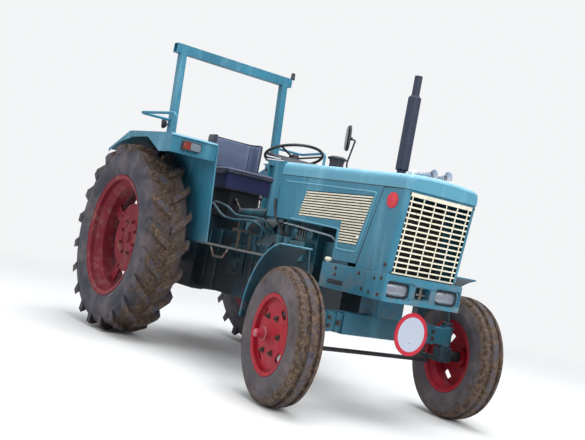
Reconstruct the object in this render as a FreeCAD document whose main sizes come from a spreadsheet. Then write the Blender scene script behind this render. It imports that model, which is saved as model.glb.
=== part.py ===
import FreeCAD, Part
import math
import os

import Sketcher

from FreeCAD import Placement, Rotation, Vector

# Farm tractor with an angular bonnet, a two-post roll bar and mudguards on all wheels.
# +X is forward, +Y is the tractor's left, +Z is up, and the wheels stand on Z = 0.
# Lengths along X are written from the rear axle; place() moves them to the middle of
# the whole length, where the origin is. All sizes are millimetres or degrees.

doc = FreeCAD.newDocument("farm_tractor")
sheet = doc.addObject("Spreadsheet::Sheet", "sizes")

SIZES = [
    # name, value, what it is
    ("wheelbase", 2200, "rear axle to front axle"),
    ("plate", 4, "thickness of sheet metal"),
    ("seam", 0.6, "gap between two sheet metal panels"),
    ("seat_gap", 0.3, "gap of a piece that lies on another"),
    ("running_gap", 0.1, "radial gap of a pin or shaft in its bore"),
    ("swing_gap", 6, "gap between a moving piece and what it passes"),
    # rear wheels
    ("rear_tyre_radius", 700, "rear tyre out to the tips of its lugs"),
    ("rear_tyre_width", 330, "rear tyre"),
    ("rear_lug_height", 37, "height of a lug"),
    ("rear_lug_width", 46, "thickness of a lug along the tread"),
    ("rear_lug_count", 20, "lugs on each half of the tread"),
    ("rear_lip_radius", 450, "outer edge of the rear rim"),
    ("rear_rim_width", 285, "rear rim over its lips"),
    ("rear_wheel_y", 660, "middle plane of a rear tyre"),
    ("rear_disc", -2, "outer face of the rear disc from the tyre's middle plane"),
    ("rear_disc_radius", 256, "rear wheel's disc"),
    ("rear_hub_radius", 140, "raised ring around the rear wheel's studs"),
    ("rear_shaft_radius", 42, "half shaft"),
    # front wheels
    ("front_tyre_radius", 375, "front tyre"),
    ("front_tyre_width", 176, "front tyre"),
    ("front_rib", 17, "half width of the middle rib of a front tyre"),
    ("front_lip_radius", 222, "outer edge of the front rim"),
    ("front_rim_width", 150, "front rim over its lips"),
    ("front_wheel_y", 645, "middle plane of a front tyre when it points ahead"),
    ("front_disc", 65, "outer face of the front disc from the tyre's middle plane"),
    ("front_hub_end", 155, "end of the hub cap from the tyre's middle plane"),
    ("spindle_radius", 22, "stub axle"),
    # front axle
    ("kingpin_y", 540, "kingpin"),
    ("kingpin_radius", 22, "kingpin"),
    ("eye_radius", 40, "eye of the axle beam"),
    ("cap_high", 18, "kingpin's cap over the eye"),
    ("beam_low", 432, "underside of the axle beam"),
    ("beam_high", 552, "top of the axle beam"),
    ("beam_depth", 110, "axle beam along X"),
    ("beam_half", 300, "half length of the beam's middle"),
    ("arm_length", 160, "steering arm"),
    ("steer_angle", 8.3, "how far the front wheels are turned to the right"),
    ("tie_rod_z", 315, "height of the tie rod"),
    ("tie_rod_radius", 13, "tie rod"),
    ("guard_radius", 442, "outer face of a front mudguard"),
    ("guard_ahead", 40, "middle of that arc, ahead of the wheel's"),
    ("guard_above", 50, "middle of that arc, above the wheel's"),
    ("guard_start", 101, "front end of a front mudguard, from level ahead"),
    ("guard_end", 182, "rear end of a front mudguard, from level ahead"),
    ("guard_in", 530, "inner edge of a front mudguard"),
    ("guard_out", 732, "outer edge of a front mudguard"),
    # bonnet
    ("hood_half", 264, "half width of the bonnet"),
    ("hood_rear_low", 1305, "lower edge of the bonnet's top at the rear"),
    ("hood_front_low", 1266, "lower edge of the bonnet's top at the front"),
    ("hood_rear_high", 1392, "top of the bonnet at the rear"),
    ("hood_front_high", 1350, "top of the bonnet at the front"),
    ("hood_corner", 46, "radius of the bonnet's long corners"),
    ("hood_crown", 2600, "radius of the bonnet's top across its width"),
    ("nose_round", 38, "length over which the bonnet's front edge is rounded"),
    ("panel_low_rear", 1024, "lower edge of a side panel, behind the step"),
    ("panel_low_front", 826, "lower edge of a side panel, ahead of the step"),
    ("louvre_count", 18, "slats beside the engine"),
    ("louvre_long", 9.5, "long slats above the step, and half a pitch"),
    ("louvre_rear", 262, "rear end of the lowest long slat from the bonnet's rear edge"),
    ("louvre_slant", 0.3, "how far the long slats' ends lean forward with height"),
    ("louvre_margin", 58, "slats to the slanted edge of the panel"),
    ("louvre_top", 1204, "highest slat"),
    ("louvre_pitch", 15.8, "slat to slat"),
    ("louvre_slat", 9, "height of a slat"),
    ("grille_half", 231, "half width of the grille"),
    ("grille_top", 1207, "highest thin bar of the grille"),
    ("grille_pitch", 30, "bar to bar"),
    ("grille_bars", 14, "thin bars"),
    ("grille_bar", 9, "height of a thin bar"),
    ("grille_post", 8, "width of an upright bar"),
    ("grille_frame", 22, "height of the grille's top bar"),
    ("cowl_corner", 28, "radius of the front face's upright corners"),
    ("grille_posts", 6, "upright bars"),
    ("grille_depth", 14, "grille along X"),
    # frame and lamp housing
    ("frame_half", 288, "half width over the frame's side plates"),
    ("frame_low", 660, "underside of the frame"),
    ("frame_high", 806, "top of the frame"),
    ("frame_plate", 20, "side plate of the frame"),
    ("lamp_y", 182, "middle of a headlamp"),
    ("lamp_half", 84, "half width of a headlamp's opening"),
    ("lamp_corner", 22, "corner of a headlamp"),
    ("housing_corner", 20, "upright corners of the lamp housing"),
    ("lamp_low", 684, "foot of a headlamp's recess"),
    ("lamp_high", 770, "top of a headlamp's recess"),
    # engine, gearbox and rear axle
    ("engine_half", 165, "half width of the engine block"),
    ("timing_half", 105, "half width of the engine's timing case"),
    ("engine_low", 500, "foot of the engine block"),
    ("engine_high", 985, "top of the engine block"),
    ("head_high", 1095, "top of the cylinder head"),
    ("sump_low", 405, "underside of the sump"),
    ("bell_half", 205, "half width of the clutch housing"),
    ("gearbox_half", 150, "half width of the gearbox"),
    ("gearbox_low", 440, "underside of the gearbox"),
    ("gearbox_high", 890, "top of the gearbox"),
    ("axle_case_front", 210, "front face of the rear axle's case"),
    ("axle_case_rear", 250, "rear face of the rear axle's case, behind the axle"),
    ("axle_case_half", 200, "half width of the rear axle's case"),
    ("axle_case_low", 415, "underside of the rear axle's case"),
    ("axle_case_high", 985, "top of the rear axle's case"),
    ("trumpet_radius", 105, "axle tube at the case"),
    ("trumpet_taper", 20, "loss of radius along an axle tube"),
    ("trumpet_end", 470, "outer end of an axle tube"),
    # rear linkage
    ("link_y", 250, "middle of a lower link"),
    ("link_x", 40, "pivot of a lower link, behind the axle"),
    ("link_z", 455, "pivot of a lower link"),
    ("link_length", 760, "pivot to ball of a lower link"),
    ("link_eye", 30, "radius of a lower link's eye"),
    ("link_thick", 20, "thickness of a lower link"),
    ("lift_arm", 300, "lift arm, and a lower link's pivot to its rod"),
    ("lift_z", 945, "lift shaft"),
    ("lift_shaft_radius", 28, "lift shaft"),
    ("link_pin_radius", 12.5, "pins of the linkage"),
    ("ball_bore", 14.2, "bore of a lower link's ball"),
    # driver's place
    ("deck_z", 772, "top of the foot plates"),
    ("deck_out", 452, "outer edge of the foot plates"),
    ("wheel_z", 1480, "middle of the steering wheel"),
    ("wheel_tilt", 18, "steering column from upright"),
    ("wheel_radius", 200, "steering wheel to the middle of its rim"),
    ("wheel_rim", 10, "radius of the steering wheel's rim"),
    ("dash_box_half", 190, "half width of the dash behind the bonnet's strip"),
    ("panel_high", 1452, "upper edge of the instrument panel"),
    ("panel_thick", 60, "instrument panel at its rear edge"),
    ("seat_half", 225, "half width of the seat"),
    ("seat_top", 1342, "top of the seat cushion"),
    ("seat_front", 500, "front of the seat cushion"),
    ("cushion_high", 45, "thickness of the seat cushion"),
    ("wing_depth", 120, "wings of the backrest, ahead of its middle"),
    ("seat_rear", 60, "rear of the seat"),
    ("seat_high", 1602, "top of the backrest"),
    # rear mudguards, rails and roll bar
    ("fender_in", 450, "inner wall of a rear mudguard"),
    ("fender_out", 806, "outer edge of a rear mudguard"),
    ("fender_top", 1480, "top of a rear mudguard"),
    ("fender_drop", 18, "fall of a rear mudguard's top towards its front"),
    ("fender_level", 60, "where that fall begins"),
    ("fender_front", 724, "front of a rear mudguard"),
    ("fender_rear", 365, "rear end of a rear mudguard, behind the axle"),
    ("fender_rear_z", 1345, "rear end of a rear mudguard"),
    ("arch_gap", 16, "gap between a rear tyre and its mudguard's skirt"),
    ("fender_fall_x", 10, "where the top begins to fall, behind the axle"),
    ("skirt_low", 1332, "foot of a mudguard's skirt at the front"),
    ("rail_y", 668, "front leg of the rail on a mudguard"),
    ("rail_out", 748, "outer corner of the rail"),
    ("rail_high", 155, "rail above the mudguard's top"),
    ("rail_front", 425, "front leg of the rail"),
    ("rail_radius", 11, "rail"),
    ("rail_bend", 40, "bends of the rail"),
    ("bar_y", 475, "roll bar's posts"),
    ("bar_top", 2235, "top of the roll bar"),
    ("bar_top_x", 92, "roll bar's top, behind the axle"),
    ("bar_foot_x", 15, "roll bar's feet, behind the axle"),
    ("bar_post_x", 62, "post along X"),
    ("bar_post_y", 50, "post along Y"),
    ("bar_beam_half", 540, "half length of the top beam"),
    ("bar_beam_z", 72, "height of the top beam"),
    ("bar_wall", 5, "wall of the top beam"),
    # stack, cleaner and sign
    ("stack_radius", 38, "silencer"),
    ("stack_top", 1968, "top of the tail pipe"),
    ("pipe_radius", 23, "tail pipe"),
    ("cleaner_y", 110, "air cleaner's cap"),
    ("cleaner_radius", 52, "air cleaner's cap"),
    ("sign_y", -19, "round sign"),
    ("sign_z", 503, "round sign"),
    ("sign_radius", 118, "round sign"),
]

FROM_FRONT_AXLE = [
    # name, distance ahead of the front axle, what it is
    ("hood_rear", -890, "rear edge of the bonnet"),
    ("hood_front", 352, "front edge of the bonnet"),
    ("panel_seam_top", 146, "front edge of a side panel at its top"),
    ("panel_seam_low", 23, "front edge of a side panel at its foot"),
    ("panel_step_x", -204, "step in a side panel's lower edge"),
    ("cowl_low_x", 294, "front face at its foot"),
    ("cowl_high_x", 342, "front face at its top"),
    ("frame_rear", -250, "rear end of the frame's side plates"),
    ("housing_rear", 162, "rear face of the lamp housing"),
    ("housing_front", 328, "front face of the lamp housing"),
    ("engine_front", -505, "front face of the engine block"),
    ("engine_rear", -975, "rear face of the engine"),
    ("bell_rear", -1150, "rear face of the clutch housing"),
    ("dash_strip", -985, "where the dash becomes as wide as the bonnet"),
    ("dash_rear", -1095, "rear face of the dash"),
    ("panel_rear", -1130, "rear edge of the instrument panel"),
    ("wheel_x", -1200, "middle of the steering wheel"),
    ("stack_x", -46, "exhaust stack"),
    ("cleaner_x", -840, "air cleaner's cap"),
    ("sign_x", 298, "round sign"),
]


class Size:
    """A number that also holds the sheet expression that it comes from."""

    def __init__(self, text, number):
        self.text = text
        self.number = float(number)

    def __add__(self, other):
        return combine(self, "+", other)

    def __radd__(self, other):
        return combine(other, "+", self)

    def __sub__(self, other):
        return combine(self, "-", other)

    def __rsub__(self, other):
        return combine(other, "-", self)

    def __mul__(self, other):
        return combine(self, "*", other)

    def __rmul__(self, other):
        return combine(other, "*", self)

    def __truediv__(self, other):
        return combine(self, "/", other)

    def __neg__(self):
        return combine(0, "-", self)

    def __float__(self):
        return self.number


def as_size(value):
    return value if isinstance(value, Size) else Size(repr(float(value)), value)


def combine(first, sign, second):
    a, b = as_size(first), as_size(second)
    number = {"+": a.number + b.number, "-": a.number - b.number, "*": a.number * b.number}
    number["/"] = a.number / b.number if b.number else 0.0
    return Size("(%s %s %s)" % (a.text, sign, b.text), number[sign])


def root(value):
    value = as_size(value)
    return Size("sqrt(%s)" % value.text, math.sqrt(max(value.number, 0)))


def cosine(angle):
    angle = as_size(angle)
    return Size("cos(%s)" % angle.text, math.cos(math.radians(angle.number)))


def sine(angle):
    angle = as_size(angle)
    return Size("sin(%s)" % angle.text, math.sin(math.radians(angle.number)))


class Sizes:
    """The sheet's cells by their names."""


s = Sizes()
for row, (alias, value, note) in enumerate(SIZES + FROM_FRONT_AXLE, start=1):
    sheet.set("A%d" % row, note)
    sheet.set("B%d" % row, str(value))
    sheet.setAlias("B%d" % row, alias)
    number = Size("sizes." + alias, value)
    setattr(s, alias, number if row <= len(SIZES) else s.wheelbase + number)
doc.recompute()

# The origin is at the middle of the whole length, from the lower links' ends to the
# left front tyre, which stands furthest ahead as the wheels are turned to the right.
wheel_arm = s.front_wheel_y - s.kingpin_y
front_reach = (s.wheelbase + (wheel_arm + s.front_rib) * sine(s.steer_angle)
               + s.front_tyre_radius * cosine(s.steer_angle))
rear_reach = s.link_x + s.link_length + s.link_eye
middle = (front_reach - rear_reach) / 2

# The front face stands on the frame.
cowl_low = s.frame_high + s.seat_gap
# The grille's top bar begins where another thin bar would.
grille_head = s.grille_top + s.grille_pitch - s.grille_bar / 2


def bind(item, path, value):
    value = as_size(value)
    item.setExpression(path, value.text)


def place(item, x=0, y=0, z=0, rotation=None):
    """Puts an item at a point that is counted from the rear axle along X."""
    item.Placement = Placement(Vector(0, 0, 0), rotation or Rotation())
    bind(item, "Placement.Base.x", as_size(x) - middle)
    bind(item, "Placement.Base.y", y)
    bind(item, "Placement.Base.z", z)
    return item


def box(name, x, y, z):
    """A block from its low and high values along X, Y and Z, each a pair."""
    item = doc.addObject("Part::Box", name)
    bind(item, "Length", as_size(x[1]) - x[0])
    bind(item, "Width", as_size(y[1]) - y[0])
    bind(item, "Height", as_size(z[1]) - z[0])
    return place(item, x[0], y[0], z[0])


ALONG = {
    "X": Rotation(Vector(0, 1, 0), 90),
    "Y": Rotation(Vector(1, 0, 0), -90),
    "Z": Rotation(),
}


def rod(name, radius, along, start, end, at):
    """A cylinder along one axis; at holds its two other coordinates in X, Y, Z order."""
    item = doc.addObject("Part::Cylinder", name)
    bind(item, "Radius", radius)
    bind(item, "Height", as_size(end) - start)
    x, y, z = {"X": (start, *at), "Y": (at[0], start, at[1]), "Z": (*at, start)}[along]
    return place(item, x, y, z, ALONG[along])


def radial_box(name, reach, y, width, angle, x, z):
    """A block that stands out from a wheel's axis; reach holds its two radii."""
    item = doc.addObject("Part::Box", name)
    bind(item, "Length", as_size(reach[1]) - reach[0])
    bind(item, "Width", as_size(y[1]) - y[0])
    bind(item, "Height", width)
    start, side = as_size(reach[0]), as_size(width) / 2
    return place(item, x + start * cosine(angle) + side * sine(angle), y[0],
                 z + start * sine(angle) - side * cosine(angle),
                 Rotation(Vector(0, 1, 0), -angle))


class Arc:
    """Stands between two corners of an outline and bends the edge between them.

    turn is 1 where the edge curves to the left on its way, and -1 to the right."""

    def __init__(self, radius, turn=1):
        self.radius = as_size(radius)
        self.turn = turn


PLANES = {
    "XY": Rotation(),
    "XZ": Rotation(Vector(1, 0, 0), 90),
    "YZ": Rotation(Vector(1, 1, 1), 120),
}


def outline(name, plane, path, x=0, y=0, z=0):
    """A closed sketch whose corners are held by their two distances from its origin."""
    sketch = doc.addObject("Sketcher::SketchObject", name)
    corners = []
    bends = {}
    for entry in path:
        if isinstance(entry, Arc):
            bends[len(corners) - 1] = entry
        else:
            corners.append((as_size(entry[0]), as_size(entry[1])))
    count = len(corners)
    ends = []
    for i in range(count):
        p = Vector(*[float(c) for c in corners[i]], 0)
        q = Vector(*[float(c) for c in corners[(i + 1) % count]], 0)
        if i not in bends:
            sketch.addGeometry(Part.LineSegment(p, q))
            ends.append((1, 2))
            continue
        radius, turn = float(bends[i].radius), bends[i].turn
        chord = q - p
        rise = math.sqrt(max(radius ** 2 - (chord.Length / 2) ** 2, 0))
        left = Vector(-chord.y, chord.x, 0).normalize()
        centre = (p + q) * 0.5 + left * rise * turn
        first, last = (p, q) if turn > 0 else (q, p)
        angles = [math.atan2(v.y - centre.y, v.x - centre.x) for v in (first, last)]
        circle = Part.Circle(centre, Vector(0, 0, 1), radius)
        sketch.addGeometry(Part.ArcOfCircle(circle, *angles))
        ends.append((1, 2) if turn > 0 else (2, 1))
    for i in range(count):
        following = (i + 1) % count
        sketch.addConstraint(Sketcher.Constraint(
            "Coincident", i, ends[i][1], following, ends[following][0]))
    for i, (u, v) in enumerate(corners):
        for kind, value in (("DistanceX", u), ("DistanceY", v)):
            index = sketch.addConstraint(Sketcher.Constraint(
                kind, -1, 1, i, ends[i][0], float(value)))
            if "sizes." in value.text:
                sketch.setExpression("Constraints[%d]" % index, value.text)
    for i, bend in bends.items():
        index = sketch.addConstraint(Sketcher.Constraint("Radius", i, float(bend.radius)))
        if "sizes." in bend.radius.text:
            sketch.setExpression("Constraints[%d]" % index, bend.radius.text)
    return place(sketch, x, y, z, PLANES[plane])


NORMALS = {"XY": Vector(0, 0, 1), "XZ": Vector(0, 1, 0), "YZ": Vector(1, 0, 0)}


def prism(name, plane, path, span):
    """An outline pushed along its plane's normal axis, from span's low to its high value."""
    start = {"XY": "z", "XZ": "y", "YZ": "x"}[plane]
    sketch = outline(name + "_outline", plane, path, **{start: span[0]})
    item = doc.addObject("Part::Extrusion", name)
    item.Base = sketch
    item.DirMode = "Custom"
    item.Dir = NORMALS[plane]
    item.Solid = True
    bind(item, "LengthFwd", as_size(span[1]) - span[0])
    return item


def rounded_block(name, x, y, z, corner):
    """A block whose four edges along X are round."""
    (left, right), (low, high), r = y, z, corner
    return prism(name, "YZ", [
        (left + r, low), (right - r, low), Arc(r), (right, low + r), (right, high - r), Arc(r),
        (right - r, high), (left + r, high), Arc(r), (left, high - r), (left, low + r),
        Arc(r)], x)


def turned(name, path, along, x=0, y=0, z=0):
    """A profile of (place along the axis, radius) corners, turned about that axis."""
    plane = {"Y": "YZ", "X": "XZ", "Z": "XZ"}[along]
    if along == "Z":
        path = [e if isinstance(e, Arc) else (e[1], e[0]) for e in path]
        path = [Arc(e.radius, -e.turn) if isinstance(e, Arc) else e for e in path]
    sketch = outline(name + "_profile", plane, path, x=middle)
    item = doc.addObject("Part::Revolution", name)
    item.Source = sketch
    item.Axis = {"X": Vector(1, 0, 0), "Y": Vector(0, 1, 0), "Z": Vector(0, 0, 1)}[along]
    item.Angle = 360
    item.Solid = True
    return place(item, x, y, z)


def fuse(name, items):
    item = doc.addObject("Part::MultiFuse", name)
    item.Shapes = items
    return item


def cut(name, base, tools):
    if len(tools) > 1:
        tool = doc.addObject("Part::Compound", name + "_tools")
        tool.Links = tools
    else:
        tool = tools[0]
    item = doc.addObject("Part::Cut", name)
    item.Base = base
    item.Tool = tool
    return item


def group(name, items):
    """Like pieces that don't touch, in one node."""
    item = doc.addObject("Part::Compound", name)
    item.Links = items
    return item


def mirrored(name, source):
    """The same piece on the other side of the tractor's middle plane."""
    item = doc.addObject("Part::Mirroring", name)
    item.Source = source
    item.Base = Vector(0, 0, 0)
    item.Normal = Vector(0, 1, 0)
    return item


def steered(name, source, side):
    """A piece of a front corner, turned to the right about its kingpin."""
    item = group(name, [source])
    along, across = s.wheelbase - middle, s.kingpin_y * side
    turn, swing = cosine(s.steer_angle), sine(s.steer_angle)
    item.Placement = Placement(Vector(0, 0, 0), Rotation(Vector(0, 0, 1), -float(s.steer_angle)))
    bind(item, "Placement.Base.x", along - along * turn - across * swing)
    bind(item, "Placement.Base.y", across + along * swing - across * turn)
    return item


def front_pair(name, left):
    """The left and right pieces of the front corners, from the left one pointing ahead."""
    right = mirrored(name + "_mirrored", left)
    piece(name + "_left", steered(name + "_left", left, 1))
    piece(name + "_right", steered(name + "_right", right, -1))


def tube(name, points, radius, bends=None):
    """A round bar along straight runs with a tangent arc at each corner between them."""
    radius = float(as_size(radius))
    corners = [Vector(float(as_size(x)) - float(middle), float(as_size(y)), float(as_size(z)))
               for x, y, z in points]
    edges = []
    here = corners[0]
    for i in range(1, len(corners) - 1):
        corner = corners[i]
        back = (corners[i - 1] - corner).normalize()
        ahead = (corners[i + 1] - corner).normalize()
        turn = math.pi - back.getAngle(ahead)
        bend = float(as_size(bends)) if bends else radius * 3
        reach = bend * math.tan(turn / 2)
        first = corner + back * reach
        last = corner + ahead * reach
        inward = (back + ahead).normalize()
        centre = corner + inward * (bend / math.cos(turn / 2))
        edges.append(Part.LineSegment(here, first).toShape())
        edges.append(Part.Arc(first, centre - inward * bend, last).toShape())
        here = last
    edges.append(Part.LineSegment(here, corners[-1]).toShape())
    path = Part.Wire(edges)
    start = Part.Circle(corners[0], corners[1] - corners[0], radius)
    section = Part.Wire(start.toShape())
    item = doc.addObject("Part::Feature", name)
    item.Shape = path.makePipeShell([section], True, False)
    return item


nodes = []


def piece(name, item):
    """Names a finished piece; each one is written to a file of its own."""
    item.Label = name
    nodes.append(item)
    return item


# Engine, gearbox and rear axle

def build_engine():
    half = s.engine_half
    rear, front = s.engine_rear, s.engine_front
    block = box("block", (rear, front), (-half, half), (s.engine_low, s.engine_high))
    head = box("head", (rear + 30, front - 20), (30 - half, half - 30),
               (s.engine_high, s.head_high))
    sump = prism("sump", "YZ", [
        (-half + 20, s.engine_low), (-half + 55, s.sump_low), (half - 55, s.sump_low),
        (half - 20, s.engine_low)], (rear + 60, front - 60))
    timing = box("timing_case", (front, s.frame_rear), (-s.timing_half, s.timing_half),
                 (s.engine_low + 20, s.engine_high - 60))
    piece("engine_block", fuse("engine_block", [block, head, sump, timing]))


def build_engine_fittings():
    """Pump, filters, starter and covers beside the engine, and the manifold on its left."""
    side, rear, high = -s.engine_half, s.engine_rear, s.engine_high
    parts = [box("pump", (rear + 270, rear + 440), (side - 75, side),
                 (high - 210, high - 90)),
             box("manifold", (rear + 60, s.engine_front - 40),
                 (s.engine_half - 30, s.engine_half + 40), (high + 15, high + 75))]
    for i in range(2):
        parts.append(rod("filter_%d" % (i + 1), 38, "Z", high - 235, high - 75,
                         (rear + 120 + 95 * i, side - 38 - s.seat_gap)))
    parts.append(rod("starter", 42, "X", rear + 40, rear + 300,
                     (side - 42 - s.seat_gap, s.engine_low + 110)))
    for i, (x, z, radius, reach) in enumerate((
            (rear + 430, high - 38, 30, 34), (rear + 290, high - 30, 22, 44),
            (rear + 400, s.engine_low + 120, 48, 26))):
        parts.append(rod("cover_%d" % (i + 1), radius, "Y", side - reach, side, (x, z)))
    return piece("engine_fittings", group("engine_fittings", parts))


def build_gearbox():
    bell = prism("bell", "YZ", [
        (-s.bell_half, s.gearbox_low + 60), (-s.bell_half + 60, s.gearbox_low),
        (s.bell_half - 60, s.gearbox_low), (s.bell_half, s.gearbox_low + 60),
        (s.bell_half, s.gearbox_high - 60), (s.bell_half - 70, s.gearbox_high + 30),
        (-s.bell_half + 70, s.gearbox_high + 30), (-s.bell_half, s.gearbox_high - 60)],
        (s.bell_rear, s.engine_rear))
    case = box("gear_case", (s.axle_case_front, s.bell_rear),
               (-s.gearbox_half, s.gearbox_half), (s.gearbox_low, s.gearbox_high))
    hump = rod("gear_hump", s.gearbox_half - 25, "X",
               (s.axle_case_front + s.bell_rear * 2) / 3, s.bell_rear + 30,
               (0, s.gearbox_high))
    piece("gearbox", fuse("gearbox", [bell, case, hump]))


def build_rear_axle():
    case = box("axle_case", (-s.axle_case_rear, s.axle_case_front),
               (-s.axle_case_half, s.axle_case_half), (s.axle_case_low, s.axle_case_high))
    trumpet = turned("trumpet", [
        (s.axle_case_half, 0), (s.trumpet_end, 0), (s.trumpet_end, s.trumpet_radius + 5),
        (s.trumpet_end - 18, s.trumpet_radius + 5),
        (s.trumpet_end - 18, s.trumpet_radius - s.trumpet_taper),
        (s.axle_case_half, s.trumpet_radius)], "Y", z=s.rear_tyre_radius)
    bore = rod("shaft_bore", s.rear_shaft_radius + s.running_gap, "Y", s.trumpet_end - 80,
               s.trumpet_end + 1, (0, s.rear_tyre_radius))
    tube_left = cut("trumpet_left", trumpet, [bore])
    tube_right = mirrored("trumpet_right", tube_left)
    stub = rod("power_shaft", 17.5, "X", -s.axle_case_rear - 80, -s.axle_case_rear,
               (0, 640))
    ears = [box("ear_%d" % n, (-s.axle_case_rear - 60, -s.axle_case_rear),
                (y, y + 16), (840, 900)) for n, y in ((1, -44), (2, 28))]
    ear_bore = rod("ear_bore", s.link_pin_radius, "Y", -60, 60,
                   (-s.axle_case_rear - 35, 870))
    shaft_bore = rod("lift_bore", s.lift_shaft_radius + s.running_gap, "Y",
                     -s.axle_case_half - 1, s.axle_case_half + 1, (-s.link_x, s.lift_z))
    pins = [rod("link_pin_%s" % side, s.link_pin_radius, "Y", low, high,
                (-s.link_x, s.link_z))
            for side, low, high in (("left", s.axle_case_half, s.link_y + 30),
                                    ("right", -s.link_y - 30, -s.axle_case_half))]
    whole = fuse("axle_whole", [case, tube_left, tube_right, stub] + ears + pins)
    piece("rear_axle", cut("rear_axle", whole, [shaft_bore, ear_bore]))


def build_drawbar():
    low = s.axle_case_low - 24
    bar = box("draw_bar", (-s.axle_case_rear - 190, -20), (-45, 45),
              (low, s.axle_case_low))
    hole = rod("draw_hole", 16, "Z", low - 1, s.axle_case_low + 1,
               (-s.axle_case_rear - 150, 0))
    piece("drawbar", cut("drawbar", bar, [hole]))


# Frame, lamp housing and bonnet

def build_front_frame():
    half = s.frame_half
    sides = [box("frame_side_%d" % (n + 1), (s.frame_rear, s.housing_rear), pair,
                 (s.frame_low, s.frame_high))
             for n, pair in enumerate(((-half, s.frame_plate - half),
                                       (half - s.frame_plate, half)))]
    floor = box("frame_floor", (s.frame_rear, s.housing_rear), (-half, half),
                (s.frame_low, s.frame_low + 30))
    bracket = box("axle_bracket", (s.wheelbase - 80, s.wheelbase + 80), (-95, 95),
                  (s.beam_high, s.frame_low + 10))
    piece("front_frame", fuse("front_frame", sides + [floor, bracket]))


def build_lamp_housing():
    half, front, r = s.frame_half, s.housing_front, s.housing_corner
    shell = prism("housing_block", "XY", [
        (s.housing_rear, -half), (front - r, -half), Arc(r), (front, r - half),
        (front, half - r), Arc(r), (front - r, half), (s.housing_rear, half)],
        (s.frame_low, s.frame_high))
    inside = box("housing_inside", (s.housing_rear - 1, front - 70),
                 (10 - half, half - 10), (s.frame_low + 8, s.frame_high - 8))
    r, wide = s.lamp_corner, s.lamp_y + s.lamp_half + 6
    low, high = s.lamp_low - 6, s.lamp_high + 6
    neck, slope, step = 62, 30, 10
    recess = prism("housing_recess", "YZ", [
        (r - wide, low), (-neck - slope, low), (-neck, low + step), (neck, low + step),
        (neck + slope, low), (wide - r, low), Arc(r), (wide, low + r), (wide, high - r),
        Arc(r), (wide - r, high), (neck + slope, high), (neck, high - step),
        (-neck, high - step), (-neck - slope, high), (r - wide, high), Arc(r),
        (-wide, high - r), (-wide, low + r), Arc(r)], (front - 16, front + 1))
    openings = [lamp_block("lamp_opening_%d" % (n + 1), (front - 71, front - 15), y, 0)
                for n, y in enumerate((s.lamp_y, -s.lamp_y))]
    window = rounded_block("housing_window", (front - 71, front - 15), (-56, 56),
                           (low + step + 6, high - step - 6), 14)
    piece("lamp_housing", cut("lamp_housing", shell, [inside, recess, window] + openings))


def lamp_block(name, x, y, inset):
    """The room of a headlamp, or the lamp itself where it is inset by a small gap."""
    half = s.lamp_half - inset
    return rounded_block(name, x, (y - half, y + half),
                         (s.lamp_low + inset, s.lamp_high - inset), s.lamp_corner - inset)


def build_headlamps():
    lamps = [lamp_block("headlamp_%d" % (n + 1), (s.housing_front - 60, s.housing_front - 30),
                        y, s.seat_gap)
             for n, y in enumerate((s.lamp_y, -s.lamp_y))]
    piece("headlamps", group("headlamps", lamps))


def cowl_section(name, z, rear, front, inset):
    half, r = s.hood_half - inset, s.cowl_corner - inset
    return outline(name, "XY", [
        (rear, -half), (front - r, -half), Arc(r), (front, r - half), (front, half - r),
        Arc(r), (front - r, half), (rear, half)], z=z)


def build_front_cowl():
    high = s.hood_front_low - s.seam
    lofts = []
    for kind, inset, over in (("outer", 0, 0), ("inner", s.plate, 1)):
        loft = doc.addObject("Part::Loft", "cowl_" + kind)
        loft.Sections = [
            cowl_section("cowl_%s_low" % kind, cowl_low - over,
                         s.panel_seam_low + s.seam - 50 * over, s.cowl_low_x - inset, inset),
            cowl_section("cowl_%s_high" % kind, high + over,
                         s.panel_seam_top + s.seam - 50 * over, s.cowl_high_x - inset, inset)]
        loft.Solid = True
        loft.Ruled = True
        lofts.append(loft)
    window = box("cowl_window", (s.cowl_low_x - 40, s.cowl_high_x + 10),
                 (-s.grille_half - s.seat_gap, s.grille_half + s.seat_gap),
                 (cowl_low - 1, grille_head + s.grille_frame + s.seat_gap))
    piece("front_cowl", cut("front_cowl", lofts[0], [lofts[1], window]))


def grille_x(z):
    """The front of the grille leans back with the front face, from its top."""
    lean = (s.cowl_high_x - s.cowl_low_x) / (s.hood_front_low - cowl_low)
    return s.cowl_low_x + (as_size(z) - cowl_low) * lean - 2


def build_grille():
    half = s.grille_half
    low = s.grille_top - s.grille_pitch * (s.grille_bars - 1)
    bars = []
    for i in range(int(float(s.grille_bars))):
        z = s.grille_top - s.grille_pitch * i
        x = grille_x(z)
        bars.append(box("bar_%d" % (i + 1), (x - s.grille_depth, x), (-half, half),
                        (z - s.grille_bar / 2, z + s.grille_bar / 2)))
    top = grille_head + s.grille_frame
    x = grille_x(top)
    bars.append(box("bar_top", (x - s.grille_depth, x), (-half, half), (grille_head, top)))
    # The thin bars reach a quarter of a column beyond the outer posts.
    pitch = s.grille_half * 2 / (s.grille_posts - 0.5)
    post = s.grille_post / 2
    for i in range(int(float(s.grille_posts))):
        y = pitch * (i - (float(s.grille_posts) - 1) / 2)
        bars.append(prism("post_%d" % (i + 1), "XZ", [
            (grille_x(low) - s.grille_depth, low), (grille_x(low) - 3, low),
            (grille_x(top) - 3, top - 2), (grille_x(top) - s.grille_depth, top - 2)],
            (y - post, y + post)))
    piece("grille", fuse("grille", bars))


def build_radiator():
    core = box("radiator", (s.cowl_low_x - 190, s.cowl_low_x - 120),
               (30 - s.grille_half, s.grille_half - 30), (s.frame_high, s.grille_top + 20))
    piece("radiator", core)


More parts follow.
